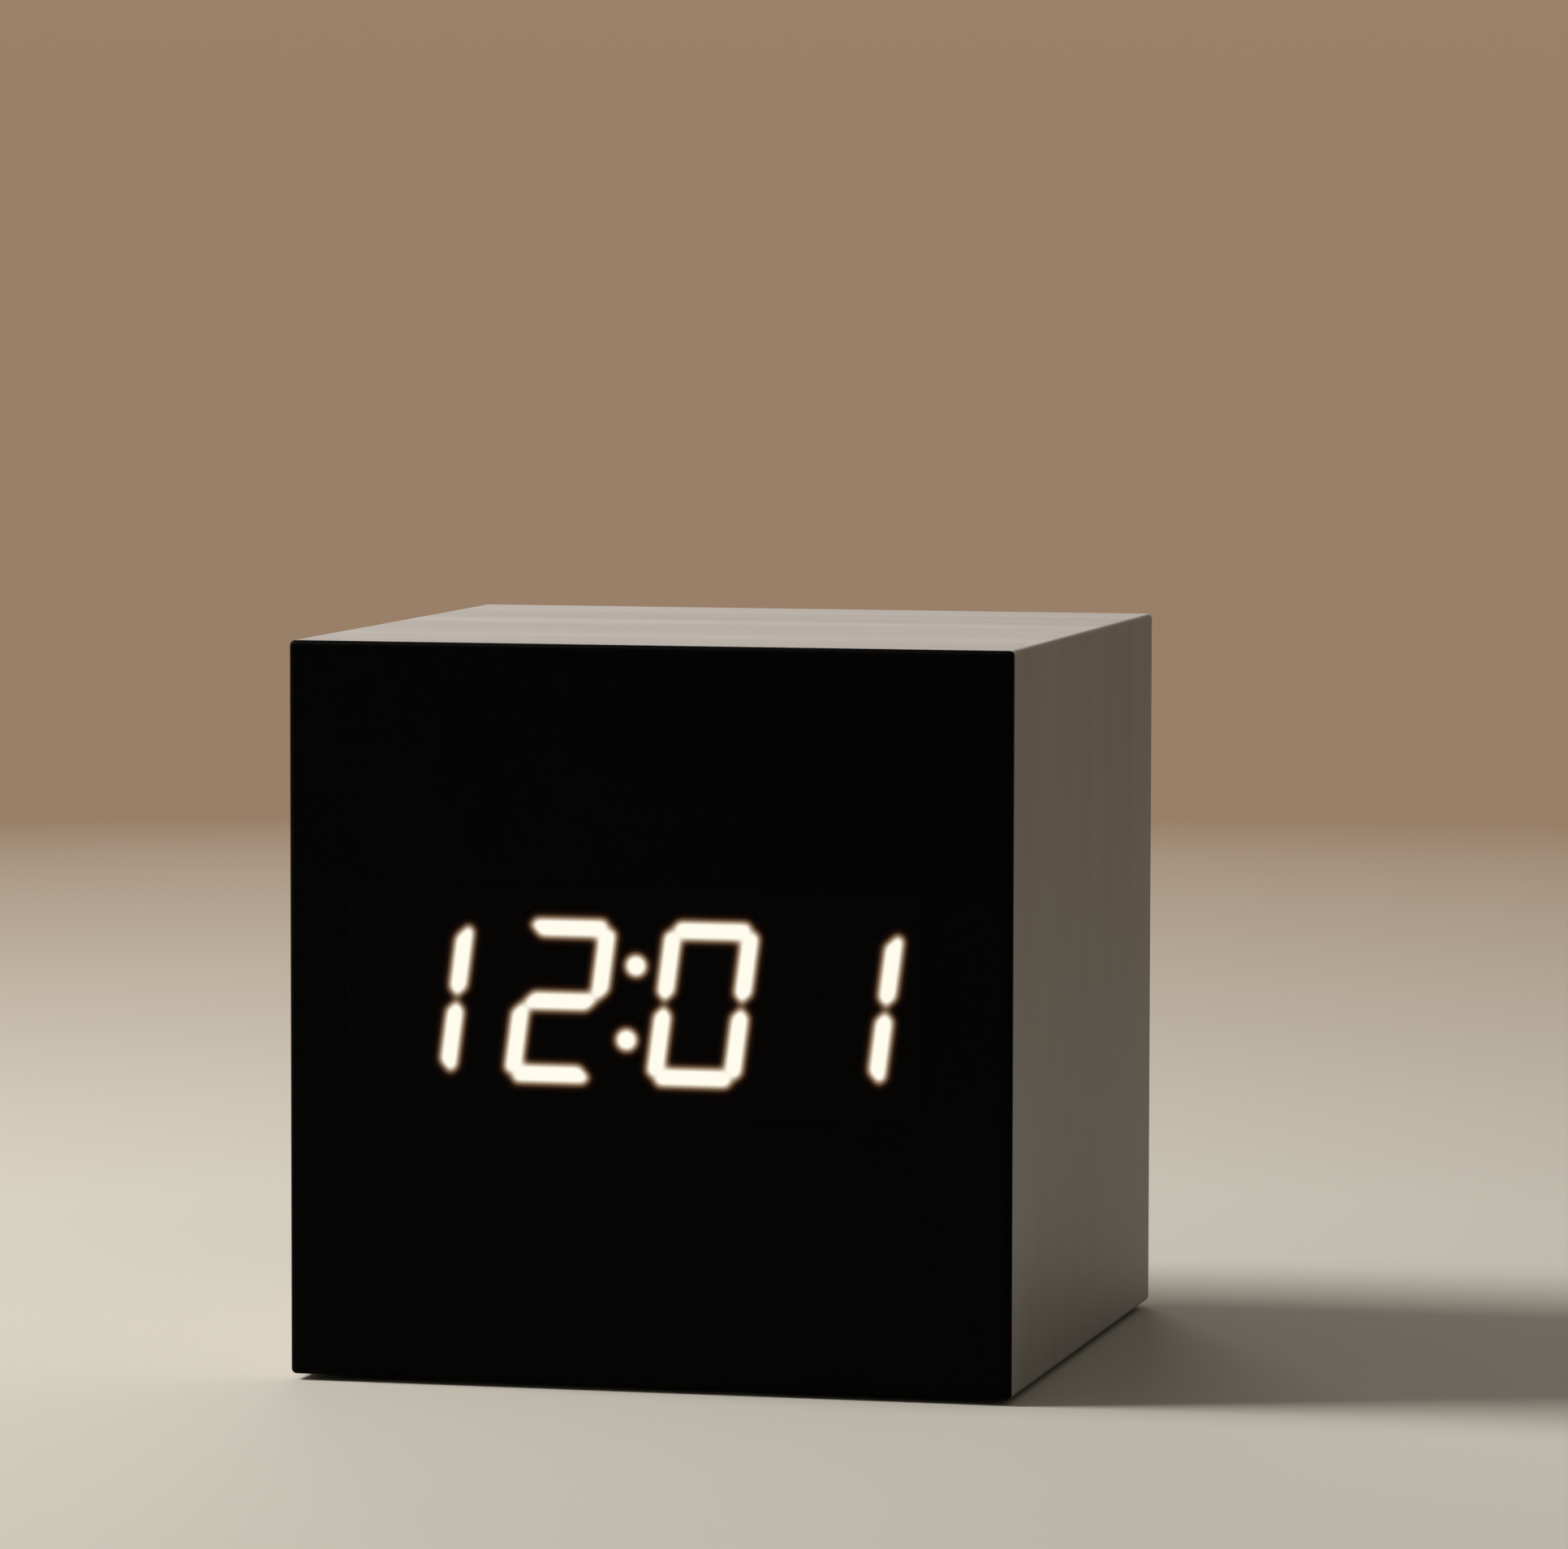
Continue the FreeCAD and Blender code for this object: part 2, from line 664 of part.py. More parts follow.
def digit_middle(place):
    return MODULE_X + (place - 1.5) * DIGIT_PITCH


def slanted(u, v):
    return u + v * SLANT, MODULE_Z + v


def segment(place, letter, y0, y1):
    points = [slanted(digit_middle(place) + u, v) for u, v in segment_outlines()[letter]]
    return rounded(plate_of(points, y0, y1), SEGMENT_R, along_y)


def segments(place, letters, y0, y1):
    return [segment(place, letter, y0, y1) for letter in letters]


def digit(place, lit):
    letters = [letter for letter in "abcdefg" if (letter in SHOWN[place]) == lit]
    return Part.makeCompound(segments(place, letters, FACE_Y, FACE_Y + SEGMENT_DEEP))


def colon_dots(y0, y1):
    return [rod(*slanted(MODULE_X, v), COLON_R, y0, y1) for v in (COLON_Z, -COLON_Z)]


def led_module():
    """The housing, with a well for each segment and a seat for its board behind."""
    x0, z0 = MODULE_X - MODULE_WIDE / 2, MODULE_Z - MODULE_HIGH / 2
    body = box(x0, x0 + MODULE_WIDE, FACE_Y, FACE_Y + MODULE_DEEP, z0, z0 + MODULE_HIGH)
    wells = colon_dots(FACE_Y, FACE_Y + WELL_DEEP)
    for place in range(4):
        wells += segments(place, "abcdefg", FACE_Y, FACE_Y + WELL_DEEP)
    return body.cut(wells).cut(module_board())


def module_board():
    skirt = 0.7
    x0, z0 = MODULE_X - MODULE_WIDE / 2 + skirt, MODULE_Z - MODULE_HIGH / 2 + skirt
    return box(
        x0, x0 + MODULE_WIDE - 2 * skirt, FACE_Y + WELL_DEEP, FACE_Y + MODULE_DEEP,
        z0, z0 + MODULE_HIGH - 2 * skirt,
    )


def led_chips():
    """One chip in the middle of each well, on the module's board."""
    high = 0.35
    places = [slanted(MODULE_X, v) for v in (COLON_Z, -COLON_Z)]
    for place in range(4):
        for outline in segment_outlines().values():
            u = sum(point[0] for point in outline) / len(outline)
            v = sum(point[1] for point in outline) / len(outline)
            places.append(slanted(digit_middle(place) + u, v))
    y1 = FACE_Y + WELL_DEEP
    half = CHIP / 2
    return Part.makeCompound([
        box(x - half, x + half, y1 - high, y1, z - half, z + half) for x, z in places
    ])


def module_pins():
    half, pitch, row = 0.25, 2.54, 7.62
    columns = [MODULE_X + (step - 2.5) * pitch for step in range(6)]
    return [
        box(x - half, x + half, FACE_Y + MODULE_DEEP, MAIN_Y[1] + PIN_OUT, z - half, z + half)
        for x in columns for z in (MODULE_Z - row, MODULE_Z + row)
    ]


# ---- main board and what it carries ----
def board_posts():
    return [(x, z) for x in (-POST_X, POST_X) for z in POST_Z]


def main_board():
    board = box(-MAIN_HALF_X, MAIN_HALF_X, *MAIN_Y, *MAIN_Z)
    board = rounded(board, 1.2, along_y)
    holes = [rod(x, z, POST_HOLE_R, *MAIN_Y) for x, z in board_posts()]
    return board.cut(holes + module_pins())


def board_spacers():
    length = (-INNER, MAIN_Y[0])
    return Part.makeCompound([
        rod(x, z, POST_R, *length).cut(rod(x, z, POST_HOLE_R, *length)) for x, z in board_posts()
    ])


def board_screws():
    head_r, long = 2.3, MAIN_Y[1] + INNER + POST_SCREW_IN
    return Part.makeCompound([
        pan_screw(x, z, MAIN_Y[1], -1, head_r, POST_SCREW_R, long) for x, z in board_posts()
    ])


def clock_chip():
    x, z = CHIP_AT
    half_x, half_z = CHIP_WIDE / 2, CHIP_HIGH / 2
    lift, dimple_r, dimple_in, dimple_deep = 0.1, 0.5, 1.4, 0.2
    y0 = MAIN_Y[1] + lift
    y1 = y0 + CHIP_THICK
    body = box(x - half_x, x + half_x, y0, y1, z - half_z, z + half_z)
    body = body.makeChamfer(0.25, [edge for edge in body.Edges if at_y(y1)(edge)])
    return body.cut(rod(x - half_x + dimple_in, z, dimple_r, y1 - dimple_deep, y1))


def chip_leg(x, foot_z, way):
    """A leg bent down from the chip's side to the board, and out along it."""
    half_x, out, down, thick = 0.2, 0.6, 1.1, 0.2
    profile = [
        (0, down + thick), (out + thick / 2, down + thick), (out + thick / 2, thick),
        (2.5 * out, thick), (2.5 * out, 0), (out - thick / 2, 0), (out - thick / 2, down), (0, down),
    ]
    points = [Vector(x - half_x, MAIN_Y[1] + rise, foot_z + way * reach) for reach, rise in profile]
    face = Part.Face(Part.makePolygon(points + points[:1]))
    return face.extrude(Vector(2 * half_x, 0, 0))


def chip_legs():
    """Fourteen legs along each long side of the chip."""
    x, z = CHIP_AT
    return Part.makeCompound([
        chip_leg(x + (step - 6.5) * LEG_PITCH, z + way * CHIP_HIGH / 2, way)
        for step in range(14) for way in (-1, 1)
    ])


def crystal():
    x, z = CRYSTAL_AT
    radius, long = 1.5, 8.0
    can = Part.makeCylinder(radius, long, Vector(x, MAIN_Y[1] + radius, z), Vector(0, 0, 1))
    return rounded(can, 0.4, lambda edge: edge.BoundBox.ZLength < 1e-6)


def can_on_board(place, radius, high, edge_r):
    """A round can that stands on the main board, with its end rounded."""
    can = rod(*place, radius, MAIN_Y[1], MAIN_Y[1] + high)
    return rounded(can, edge_r, at_y(MAIN_Y[1] + high))


def buzzer():
    high, mouth_r, mouth_deep = 8.5, 1.2, 2.5
    top = MAIN_Y[1] + high
    return can_on_board(BUZZER_AT, 6.0, high, 0.6).cut(rod(*BUZZER_AT, mouth_r, top - mouth_deep, top))


def microphone():
    high, mouth_r, mouth_deep = 2.7, 0.6, 0.5
    top = MAIN_Y[1] + high
    can = can_on_board(MICROPHONE_AT, 3.0, high, 0.3)
    return can.cut(rod(*MICROPHONE_AT, mouth_r, top - mouth_deep, top))


def capacitors():
    return Part.makeCompound([can_on_board(place, 2.5, 6.5, 0.5) for place in CAPACITORS_AT])


def resistors():
    """Two rows of chip resistors, one for each segment line."""
    half_x, half_z, high = 0.8, 0.4, 0.55
    columns = [(step - 3.5) * RESISTOR_PITCH for step in range(8)]
    return Part.makeCompound([
        box(x - half_x, x + half_x, MAIN_Y[1], MAIN_Y[1] + high, z - half_z, z + half_z)
        for x in columns for z in RESISTOR_ROWS
    ])


def transistors():
    half_x, half_z, lift, high = 1.4, 0.65, 0.05, 1.05
    middle, z = TRANSISTORS_AT
    y0 = MAIN_Y[1] + lift
    return Part.makeCompound([
        box(x - half_x, x + half_x, y0, y0 + high, z - half_z, z + half_z)
        for x in [middle + (step - 1.5) * TRANSISTOR_PITCH for step in range(4)]
    ])


def thermistor():
    """A bead that senses the room's temperature, on two stiff leads."""
    x, z = THERMISTOR_AT
    bead_r, lead_r, lead_at = 1.2, 0.22, 0.6
    bead_y = MAIN_Y[1] + 7.0
    bead = Part.makeSphere(bead_r, Vector(x, bead_y, z))
    leads = [rod(x + way * lead_at, z, lead_r, MAIN_Y[1], bead_y) for way in (-1, 1)]
    return joined(bead, *leads)


# ---- wiring ----
def header(place, wide):
    x, z = place
    half_x, half_z = wide / 2, 2.2
    body = box(
        x - half_x, x + half_x, MAIN_Y[1], MAIN_Y[1] + HEADER_DEEP, z - half_z, z + half_z,
    )
    return rounded(body, 0.3, along_y)


def wire_headers():
    return Part.makeCompound([
        header(BATTERY_HEADER, 6.0), header(SOCKET_HEADER, 6.0), header(CABLE_HEADER, 7.5),
    ])


def smooth_path(corners, share=0.45):
    """Straight runs between the corners, joined by tangent arcs."""
    edges = []
    here = corners[0]
    for before, corner, after in zip(corners, corners[1:], corners[2:]):
        back, ahead = (before - corner), (after - corner)
        reach = share * min(back.Length, ahead.Length)
        back.normalize()
        ahead.normalize()
        turn = math.pi - back.getAngle(ahead)
        radius = reach / math.tan(turn / 2)
        inward = back + ahead
        inward.normalize()
        centre = corner + inward * (radius / math.cos(turn / 2))
        start, end = corner + back * reach, corner + ahead * reach
        edges.append(Part.LineSegment(here, start).toShape())
        edges.append(Part.Arc(start, centre - inward * radius, end).toShape())
        here = end
    edges.append(Part.LineSegment(here, corners[-1]).toShape())
    return Part.Wire(edges)


def wire(corners):
    path = smooth_path([Vector(*corner) for corner in corners])
    first = path.Edges[0]
    loop = Part.makeCircle(WIRE_R, Vector(*corners[0]), first.tangentAt(first.FirstParameter))
    return path.makePipeShell([Part.Wire(loop)], True, False)


def header_pair(place):
    """Where a header's two wires leave it, and the y of its face."""
    x, z = place
    return x - WIRE_APART / 2, x + WIRE_APART / 2, MAIN_Y[1] + HEADER_DEEP, z


def battery_wires():
    """From the header to the two tabs under the battery bay."""
    left, right, y, z = header_pair(BATTERY_HEADER)
    tab_x = BAY_HALF_X - PLATE - WIRE_R
    end = TAB_END_Y + WIRE_ON_TAG
    (_, low), (_, high) = tab_places()
    return [
        wire([(left, y, z), (left, y + 9, z), (-20, 1.7, z + 2), (-tab_x, 5, low), (-tab_x, end, low)]),
        wire([(right, y, z), (right, y + 10, z), (8, 0, 23), (tab_x, 5, high), (tab_x, end, high)]),
    ]


def socket_wires():
    """From the header to the socket's two tags."""
    left, right, y, z = header_pair(SOCKET_HEADER)
    (x, upper), (_, lower) = socket_tag_places()
    side = TAG_THICK / 2 + WIRE_R
    end = SOCKET_BACK_Y - TAG_LONG + WIRE_ON_TAG
    over, under = upper + side, lower - side
    return [
        wire([(left, y, z), (left, y + 8, z), (15, 0, 55), (x, 7, over), (x, end, over)]),
        wire([(right, y, z), (right, y + 7, z), (17, -1, 48), (x, 7, under), (x, end, under)]),
    ]


def button_cable():
    """A flat cable from the main board to the button board."""
    x, z = CABLE_HEADER
    start = MAIN_Y[1] + HEADER_DEEP
    end = SWITCH_Y[0] - BOARD_THICK
    path = smooth_path([
        Vector(x, start, z), Vector(x, start + 9, z), Vector(x, 2, z + 5.5),
        Vector(x, end - 8, CABLE_END_Z), Vector(x, end, CABLE_END_Z),
    ])
    half_x, half_z = 2.5, 0.45
    outline = [
        Vector(x - half_x, start, z - half_z), Vector(x + half_x, start, z - half_z),
        Vector(x + half_x, start, z + half_z), Vector(x - half_x, start, z + half_z),
    ]
    return path.makePipeShell([Part.makePolygon(outline + outline[:1])], True, False)


# ---- all sub-parts, by node name ----
def all_parts():
    battery_red, battery_black = battery_wires()
    socket_red, socket_black = socket_wires()
    parts = {
        "right_board": side_board(0),
        "bottom_board": side_board(90),
        "left_board": side_board(180),
        "top_board": side_board(270),
        "front_board": front_board(),
        "case_film": case_film(),
        "front_film": front_film(),
        "corner_blocks": corner_blocks(),
        "foot_pads": foot_pads(),
        "rear_panel": rear_panel(),
        "battery_tray": battery_tray(),
        "panel_posts": panel_posts(),
        "rear_screws": rear_screws(),
        "battery_door": battery_door(),
        "battery_springs": battery_springs(),
        "battery_contacts": battery_contacts(),
        "switch_bodies": switch_bodies(),
        "button_board": button_board(),
        "button_board_screws": button_board_screws(),
        "dc_socket": dc_socket(),
        "dc_socket_pin": dc_socket_pin(),
        "dc_socket_tags": dc_socket_tags(),
        "led_module": led_module(),
        "colon_lit": Part.makeCompound(colon_dots(FACE_Y, FACE_Y + SEGMENT_DEEP)),
        "led_chips": led_chips(),
        "module_board": module_board(),
        "module_pins": Part.makeCompound(module_pins()),
        "main_board": main_board(),
        "board_spacers": board_spacers(),
        "board_screws": board_screws(),
        "clock_chip": clock_chip(),
        "chip_legs": chip_legs(),
        "crystal": crystal(),
        "buzzer": buzzer(),
        "microphone": microphone(),
        "capacitors": capacitors(),
        "resistors": resistors(),
        "transistors": transistors(),
        "thermistor": thermistor(),
        "wire_headers": wire_headers(),
        "red_wires": Part.makeCompound([battery_red, socket_red]),
        "black_wires": Part.makeCompound([battery_black, socket_black]),
        "button_cable": button_cable(),
    }
    for row in range(3):
        parts[f"cell_{row + 1}"] = cell(row)
    for name, x in zip(BUTTON_NAMES, BUTTON_X):
        parts[f"{name}_button"] = button_cap(x)
        parts[f"{name}_plunger"] = plunger(x)
    for place in range(4):
        parts[f"digit_{place + 1}_lit"] = digit(place, True)
        parts[f"digit_{place + 1}_dark"] = digit(place, False)
    return parts


os.makedirs("parts", exist_ok=True)
for node, shape in all_parts().items():
    shape.exportStep(f"parts/{node}.step")
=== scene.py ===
import bpy
import bmesh
import json
import math
import numpy as np
from mathutils import Matrix, Vector


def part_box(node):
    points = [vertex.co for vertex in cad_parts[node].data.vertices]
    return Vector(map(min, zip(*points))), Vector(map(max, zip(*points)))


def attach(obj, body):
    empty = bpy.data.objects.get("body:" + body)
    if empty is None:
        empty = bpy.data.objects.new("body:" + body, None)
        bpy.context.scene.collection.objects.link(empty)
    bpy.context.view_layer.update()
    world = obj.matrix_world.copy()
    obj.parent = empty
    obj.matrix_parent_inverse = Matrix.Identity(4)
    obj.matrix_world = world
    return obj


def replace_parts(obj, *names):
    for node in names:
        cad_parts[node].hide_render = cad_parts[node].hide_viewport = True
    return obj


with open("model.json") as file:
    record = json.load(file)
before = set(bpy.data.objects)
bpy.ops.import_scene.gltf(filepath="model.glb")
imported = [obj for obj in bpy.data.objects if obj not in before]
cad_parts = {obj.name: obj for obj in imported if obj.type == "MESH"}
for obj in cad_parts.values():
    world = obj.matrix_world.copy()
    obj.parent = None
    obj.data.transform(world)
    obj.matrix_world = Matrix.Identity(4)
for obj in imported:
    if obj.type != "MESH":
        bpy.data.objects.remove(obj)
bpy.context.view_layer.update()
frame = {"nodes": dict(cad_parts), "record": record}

# The looks of a cube-shaped LED desk clock, in metres, in the CAD frame: the front faces -Y,
# the rear panel +Y, and Z is up.
MM = 0.001
SAME = 0.001 * MM                         # points that are nearer than this are one
PICTURE_WIDE = 1932                       # pixels

case_low, case_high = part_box("case_film")
CENTRE = (case_low + case_high) / 2
FRONT_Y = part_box("front_film")[0].y
FILM = 0.3 * MM                           # thickness of the films
PANEL_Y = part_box("rear_screws")[1].y      # the rear panel's outer face
BOARD_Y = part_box("main_board")[1].y       # the main board's face, towards the rear


# ---- nodes ----
MIX_SHARE, MIX_FIRST, MIX_SECOND = 0, 6, 7    # a Mix node's inputs when it mixes colours
MIX_RESULT = 2
NOISE_LOW, NOISE_HIGH = 0.3, 0.7              # nearly all of a noise texture lies between them


class Nodes:
    """Short calls that add nodes to a tree and link them.

    An argument that feeds a node is a plain value or another node's output.
    """

    def __init__(self, tree):
        self.nodes = tree.nodes
        self.links = tree.links

    def node(self, kind, settings=None, **inputs):
        """Adds a node. Its inputs are named, with _ for a space."""
        made = self.nodes.new(kind)
        for name, value in (settings or {}).items():
            setattr(made, name, value)
        for name, value in inputs.items():
            self.feed(made.inputs[name.replace("_", " ")], value)
        return made

    def feed(self, socket, value):
        if isinstance(value, bpy.types.NodeSocket):
            self.links.new(value, socket)
        elif socket.type == "RGBA":
            socket.default_value = (*value, 1)
        else:
            socket.default_value = value

    def part(self, letter, vector):
        return self.node("ShaderNodeSeparateXYZ", Vector=vector).outputs[letter]

    def maths(self, operation, first, second=0.0):
        made = self.node("ShaderNodeMath", {"operation": operation})
        self.feed(made.inputs[0], first)
        self.feed(made.inputs[1], second)
        return made.outputs[0]

    def span(self, value, low, high, out_low=0.0, out_high=1.0):
        """The value from low to high, stretched to run from out_low to out_high."""
        made = self.node(
            "ShaderNodeMapRange", Value=value, From_Min=low, From_Max=high, To_Min=out_low, To_Max=out_high
        )
        return made.outputs["Result"]

    def past(self, value, edge, soft):
        """0 below the edge and 1 above it, with a soft step between."""
        return self.span(value, edge - soft / 2, edge + soft / 2)

    def mix(self, share, first, second):
        made = self.node("ShaderNodeMix", {"data_type": "RGBA"})
        self.feed(made.inputs[MIX_SHARE], share)
        self.feed(made.inputs[MIX_FIRST], first)
        self.feed(made.inputs[MIX_SECOND], second)
        return made.outputs[MIX_RESULT]

    def ramp(self, value, *stops, sharp=False):
        """Colours by value. A sharp ramp keeps each colour up to the next stop."""
        made = self.node("ShaderNodeValToRGB", Fac=value)
        made.color_ramp.interpolation = "CONSTANT" if sharp else "LINEAR"
        elements = made.color_ramp.elements
        for _ in stops[2:]:
            elements.new(1.0)
        for element, (place, colour) in zip(elements, stops):
            element.position = place
            element.color = (*colour, 1)
        return made.outputs["Color"]

    def vary(self, noise, low, high):
        """A noise, stretched to run from low to high."""
        return self.span(noise, NOISE_LOW, NOISE_HIGH, low, high)

    def tones(self, noise, dark, light):
        """A noise as colours from dark to light."""
        return self.ramp(noise, (NOISE_LOW, dark), (NOISE_HIGH, light))

    def seen_directly(self):
        """1 for the rays that show a backdrop: the camera's, mirrored ones and ones through glass."""
        rays = self.node("ShaderNodeLightPath").outputs
        bent = self.maths("MAXIMUM", rays["Is Glossy Ray"], rays["Is Transmission Ray"])
        return self.maths("MAXIMUM", rays["Is Camera Ray"], bent)


class Surface(Nodes):
    """A material with one Principled shader.

    Its sizes are in metres, in the object's own coordinates, which are the CAD frame's.
    """

    def __init__(self, name, colour, rough=0.5, metal=0.0, **plain):
        self.material = bpy.data.materials.new(name)
        self.material.use_nodes = True
        super().__init__(self.material.node_tree)
        self.shader = self.nodes["Principled BSDF"]
        self.to("Base Color", colour)
        self.to("Roughness", rough)
        self.to("Metallic", metal)
        sockets = {socket.name.lower(): socket for socket in self.shader.inputs}
        for name, value in plain.items():
            sockets[name.replace("_", " ")].default_value = value

    def to(self, socket, value):
        """Feeds one of the shader's own sockets."""
        self.feed(self.shader.inputs[socket], value)

    def place(self, grain=(1, 1, 1), shift=(0, 0, 0)):
        """The point on the surface, divided by the grain's size along each axis."""
        here = self.node("ShaderNodeTexCoord").outputs["Object"]
        scale = tuple(1 / size for size in grain)
        spread = self.node("ShaderNodeMapping", Vector=here, Scale=scale, Location=shift)
        return spread.outputs["Vector"]

    def axis(self, letter):
        return self.part(letter, self.place())

    def facing(self, letter):
        """Which way the surface faces along an axis, from -1 to 1."""
        return self.part(letter, self.node("ShaderNodeTexCoord").outputs["Normal"])

    def noise(self, grain, detail=3.0, rough=0.5, shift=(0, 0, 0)):
        grain = grain if isinstance(grain, tuple) else (grain,) * 3
        made = self.node(
            "ShaderNodeTexNoise", Vector=self.place(grain, shift), Scale=1.0, Detail=detail, Roughness=rough
        )
        return made.outputs["Fac"]

    def pits(self, grain):
        """Distance to the nearest of many scattered points, in grains."""
        made = self.node("ShaderNodeTexVoronoi", Vector=self.place((grain,) * 3), Scale=1.0)
        return made.outputs["Distance"]

    def bump(self, height, depth):
        """Relief: height runs from 0 to 1 over the depth."""
        made = self.node("ShaderNodeBump", Height=height, Distance=depth, Strength=1.0)
        self.to("Normal", made.outputs["Normal"])


def shade(colour, share):
    return tuple(min(1.0, channel * share) for channel in colour)


# ---- finishes of the case ----
SILVER = (0.441, 0.418, 0.398)
STREAK_LONG = 60 * MM           # the film's brush marks, along and across them
STREAK_FINE = 0.22 * MM
BAND_LONG = 120 * MM            # and its broad bands
BAND_WIDE = 5 * MM
SMOKE_ALPHA = 0.75              # how much of the light the front's film stops
WHITE_LIGHT = (1.0, 0.965, 0.84)
GLOW_STOPS = (
    (0.0, (0.0, 0.0, 0.0)),
    (0.13, (0.016, 0.006, 0.0025)),
    (0.4, (0.136, 0.083, 0.045)),
    (0.7, (0.46, 0.36, 0.265)),
    (0.97, WHITE_LIGHT),
)


def silver_film():
    """Brushed film: streaks that run round the cube, and level ones where it folds over the rear."""
    s = Surface("silver_film", SILVER, metal=0.05, specular_ior_level=0.07)
    round_it = s.noise((STREAK_LONG, STREAK_FINE, STREAK_LONG), detail=5, rough=0.6)
    level = s.noise((STREAK_LONG / 2, STREAK_LONG, STREAK_FINE), detail=5, rough=0.6)
    fine = s.mix(s.past(s.facing("Y"), 0.7, 0.1), round_it, level)
    broad = s.noise((BAND_LONG, BAND_WIDE, BAND_LONG), detail=3)
    cloud = s.noise(22 * MM, detail=2)
    streaks = s.maths("ADD", s.maths("MULTIPLY", fine, 0.45), s.maths("MULTIPLY", broad, 0.55))
    tone = s.tones(streaks, shade(SILVER, 0.80), shade(SILVER, 1.18))
    s.to("Base Color", s.mix(s.vary(cloud, 0.0, 0.25), tone, shade(SILVER, 0.95)))
    s.to("Roughness", s.vary(streaks, 0.36, 0.5))
    s.bump(fine, 0.012 * MM)
    return s.material


def smoke_film():
    """The satin black film on the front, thin enough for the digits to shine through."""
    s = Surface("smoke_film", (0.003, 0.003, 0.003), alpha=SMOKE_ALPHA, specular_ior_level=0.04)
    fine = s.noise(0.25 * MM, detail=4)
    s.to("Base Color", s.tones(fine, (0.001, 0.001, 0.001), (0.003, 0.0025, 0.0025)))
    s.to("Roughness", s.vary(fine, 0.4, 0.52))
    s.bump(fine, 0.004 * MM)
    return s.material


def display_light():
    """The digits' light as the film spreads it: white, tan, then brown. The film dims it again."""
    s = Surface("display_light", (0.001, 0.001, 0.001), rough=0.6, specular_ior_level=0.0)
    level = s.node("ShaderNodeAttribute", {"attribute_name": "level"}).outputs["Fac"]
    s.to("Emission Color", s.ramp(level, *GLOW_STOPS))
    s.to("Emission Strength", 1 / (1 - SMOKE_ALPHA))
    return s.material


def pressed_fibre(name, dark, light, shine):
    """Fibreboard: short light and dark strands, with specks."""
    s = Surface(name, light, specular_ior_level=shine)
    strands = s.noise((1.0 * MM, 1.0 * MM, 0.35 * MM), detail=6, rough=0.7)
    specks = s.noise(0.18 * MM, detail=2, shift=(7, 3, 5))
    tone = s.ramp(strands, (0.32, dark), (0.68, light))
    s.to("Base Color", s.mix(s.span(specks, 0.58, 0.7, 0.0, 0.5), tone, shade(dark, 0.5)))
    s.to("Roughness", s.vary(specks, 0.78, 0.95))
    s.bump(strands, 0.06 * MM)
    return s.material


def fibreboard():
    return pressed_fibre("fibreboard", (0.22, 0.135, 0.07), (0.42, 0.29, 0.17), 0.25)


def black_fibreboard():
    return pressed_fibre("black_fibreboard", (0.001, 0.001, 0.001), (0.004, 0.004, 0.0035), 0.03)


def pine():
    """Softwood: bands of early and late wood, with the grain along Y."""
    s = Surface("pine", (0.52, 0.36, 0.20))
    bands = s.noise((1.1 * MM, 30 * MM, 3.0 * MM))
    fibres = s.noise((0.08 * MM, 4 * MM, 0.08 * MM))
    tone = s.ramp(bands, (0.35, (0.60, 0.43, 0.25)), (0.52, (0.52, 0.35, 0.18)), (0.66, (0.36, 0.20, 0.09)))
    s.to("Base Color", s.mix(s.vary(fibres, 0.0, 0.35), tone, (0.40, 0.26, 0.14)))
    s.to("Roughness", s.vary(fibres, 0.6, 0.8))
    s.bump(fibres, 0.03 * MM)
    return s.material


def foam_rubber():
    """Dense black foam with small pores, with painted shade in them."""
    s = Surface("foam_rubber", (0.03, 0.03, 0.03))
    pores = s.pits(0.22 * MM)
    # painted shade: darker towards the middle of each pore
    s.to("Base Color", s.ramp(pores, (0.1, (0.008, 0.008, 0.008)), (0.5, (0.04, 0.04, 0.038))))
    s.to("Roughness", s.span(pores, 0.1, 0.6, 0.8, 0.95))
    s.bump(pores, 0.08 * MM)
    return s.material


MARK_WHITE = (0.72, 0.71, 0.68)
MARK_RISE = 0.1 * MM            # the white starts this far out from the panel
MARK_DROP = 0.6 * MM            # and at most this far below the upper edge of the buttons


def black_abs():
    """Spark-eroded moulding, with the raised marks over the buttons picked out in white."""
    s = Surface("black_abs", (0.022, 0.022, 0.024), specular_ior_level=0.4)
    grain = s.noise(0.16 * MM, rough=0.6)
    cloud = s.noise(9 * MM)
    tone = s.tones(grain, (0.013, 0.013, 0.014), (0.03, 0.03, 0.032))
    worn = s.mix(s.span(cloud, 0.4, 0.75, 0.0, 0.4), tone, (0.042, 0.042, 0.043))
    marks_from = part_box("set_button")[1].z - MARK_DROP
    raised = s.past(s.axis("Y"), PANEL_Y + MARK_RISE, 0.02 * MM)
    mark = s.maths("MULTIPLY", raised, s.past(s.axis("Z"), marks_from, 0.1 * MM))
    s.to("Base Color", s.mix(mark, worn, MARK_WHITE))
    s.to("Roughness", s.vary(cloud, 0.5, 0.66))
    s.bump(grain, 0.02 * MM)
    return s.material


# ---- finishes of the works ----
def plastic(name, colour, rough=0.45, cloudy=0.85):
    """Moulded plastic with a little texture and an uneven gloss."""
    s = Surface(name, colour)
    fine = s.noise(0.15 * MM)
    cloud = s.noise(2.5 * MM, detail=2)
    tone = s.tones(fine, shade(colour, 0.84), shade(colour, 1.12))
    s.to("Base Color", s.mix(s.span(cloud, 0.35, 0.75, 0.0, 0.6), tone, shade(colour, cloudy)))
    s.to("Roughness", s.vary(cloud, rough * 0.85, rough * 1.2))
    s.bump(fine, 0.008 * MM)
    return s.material


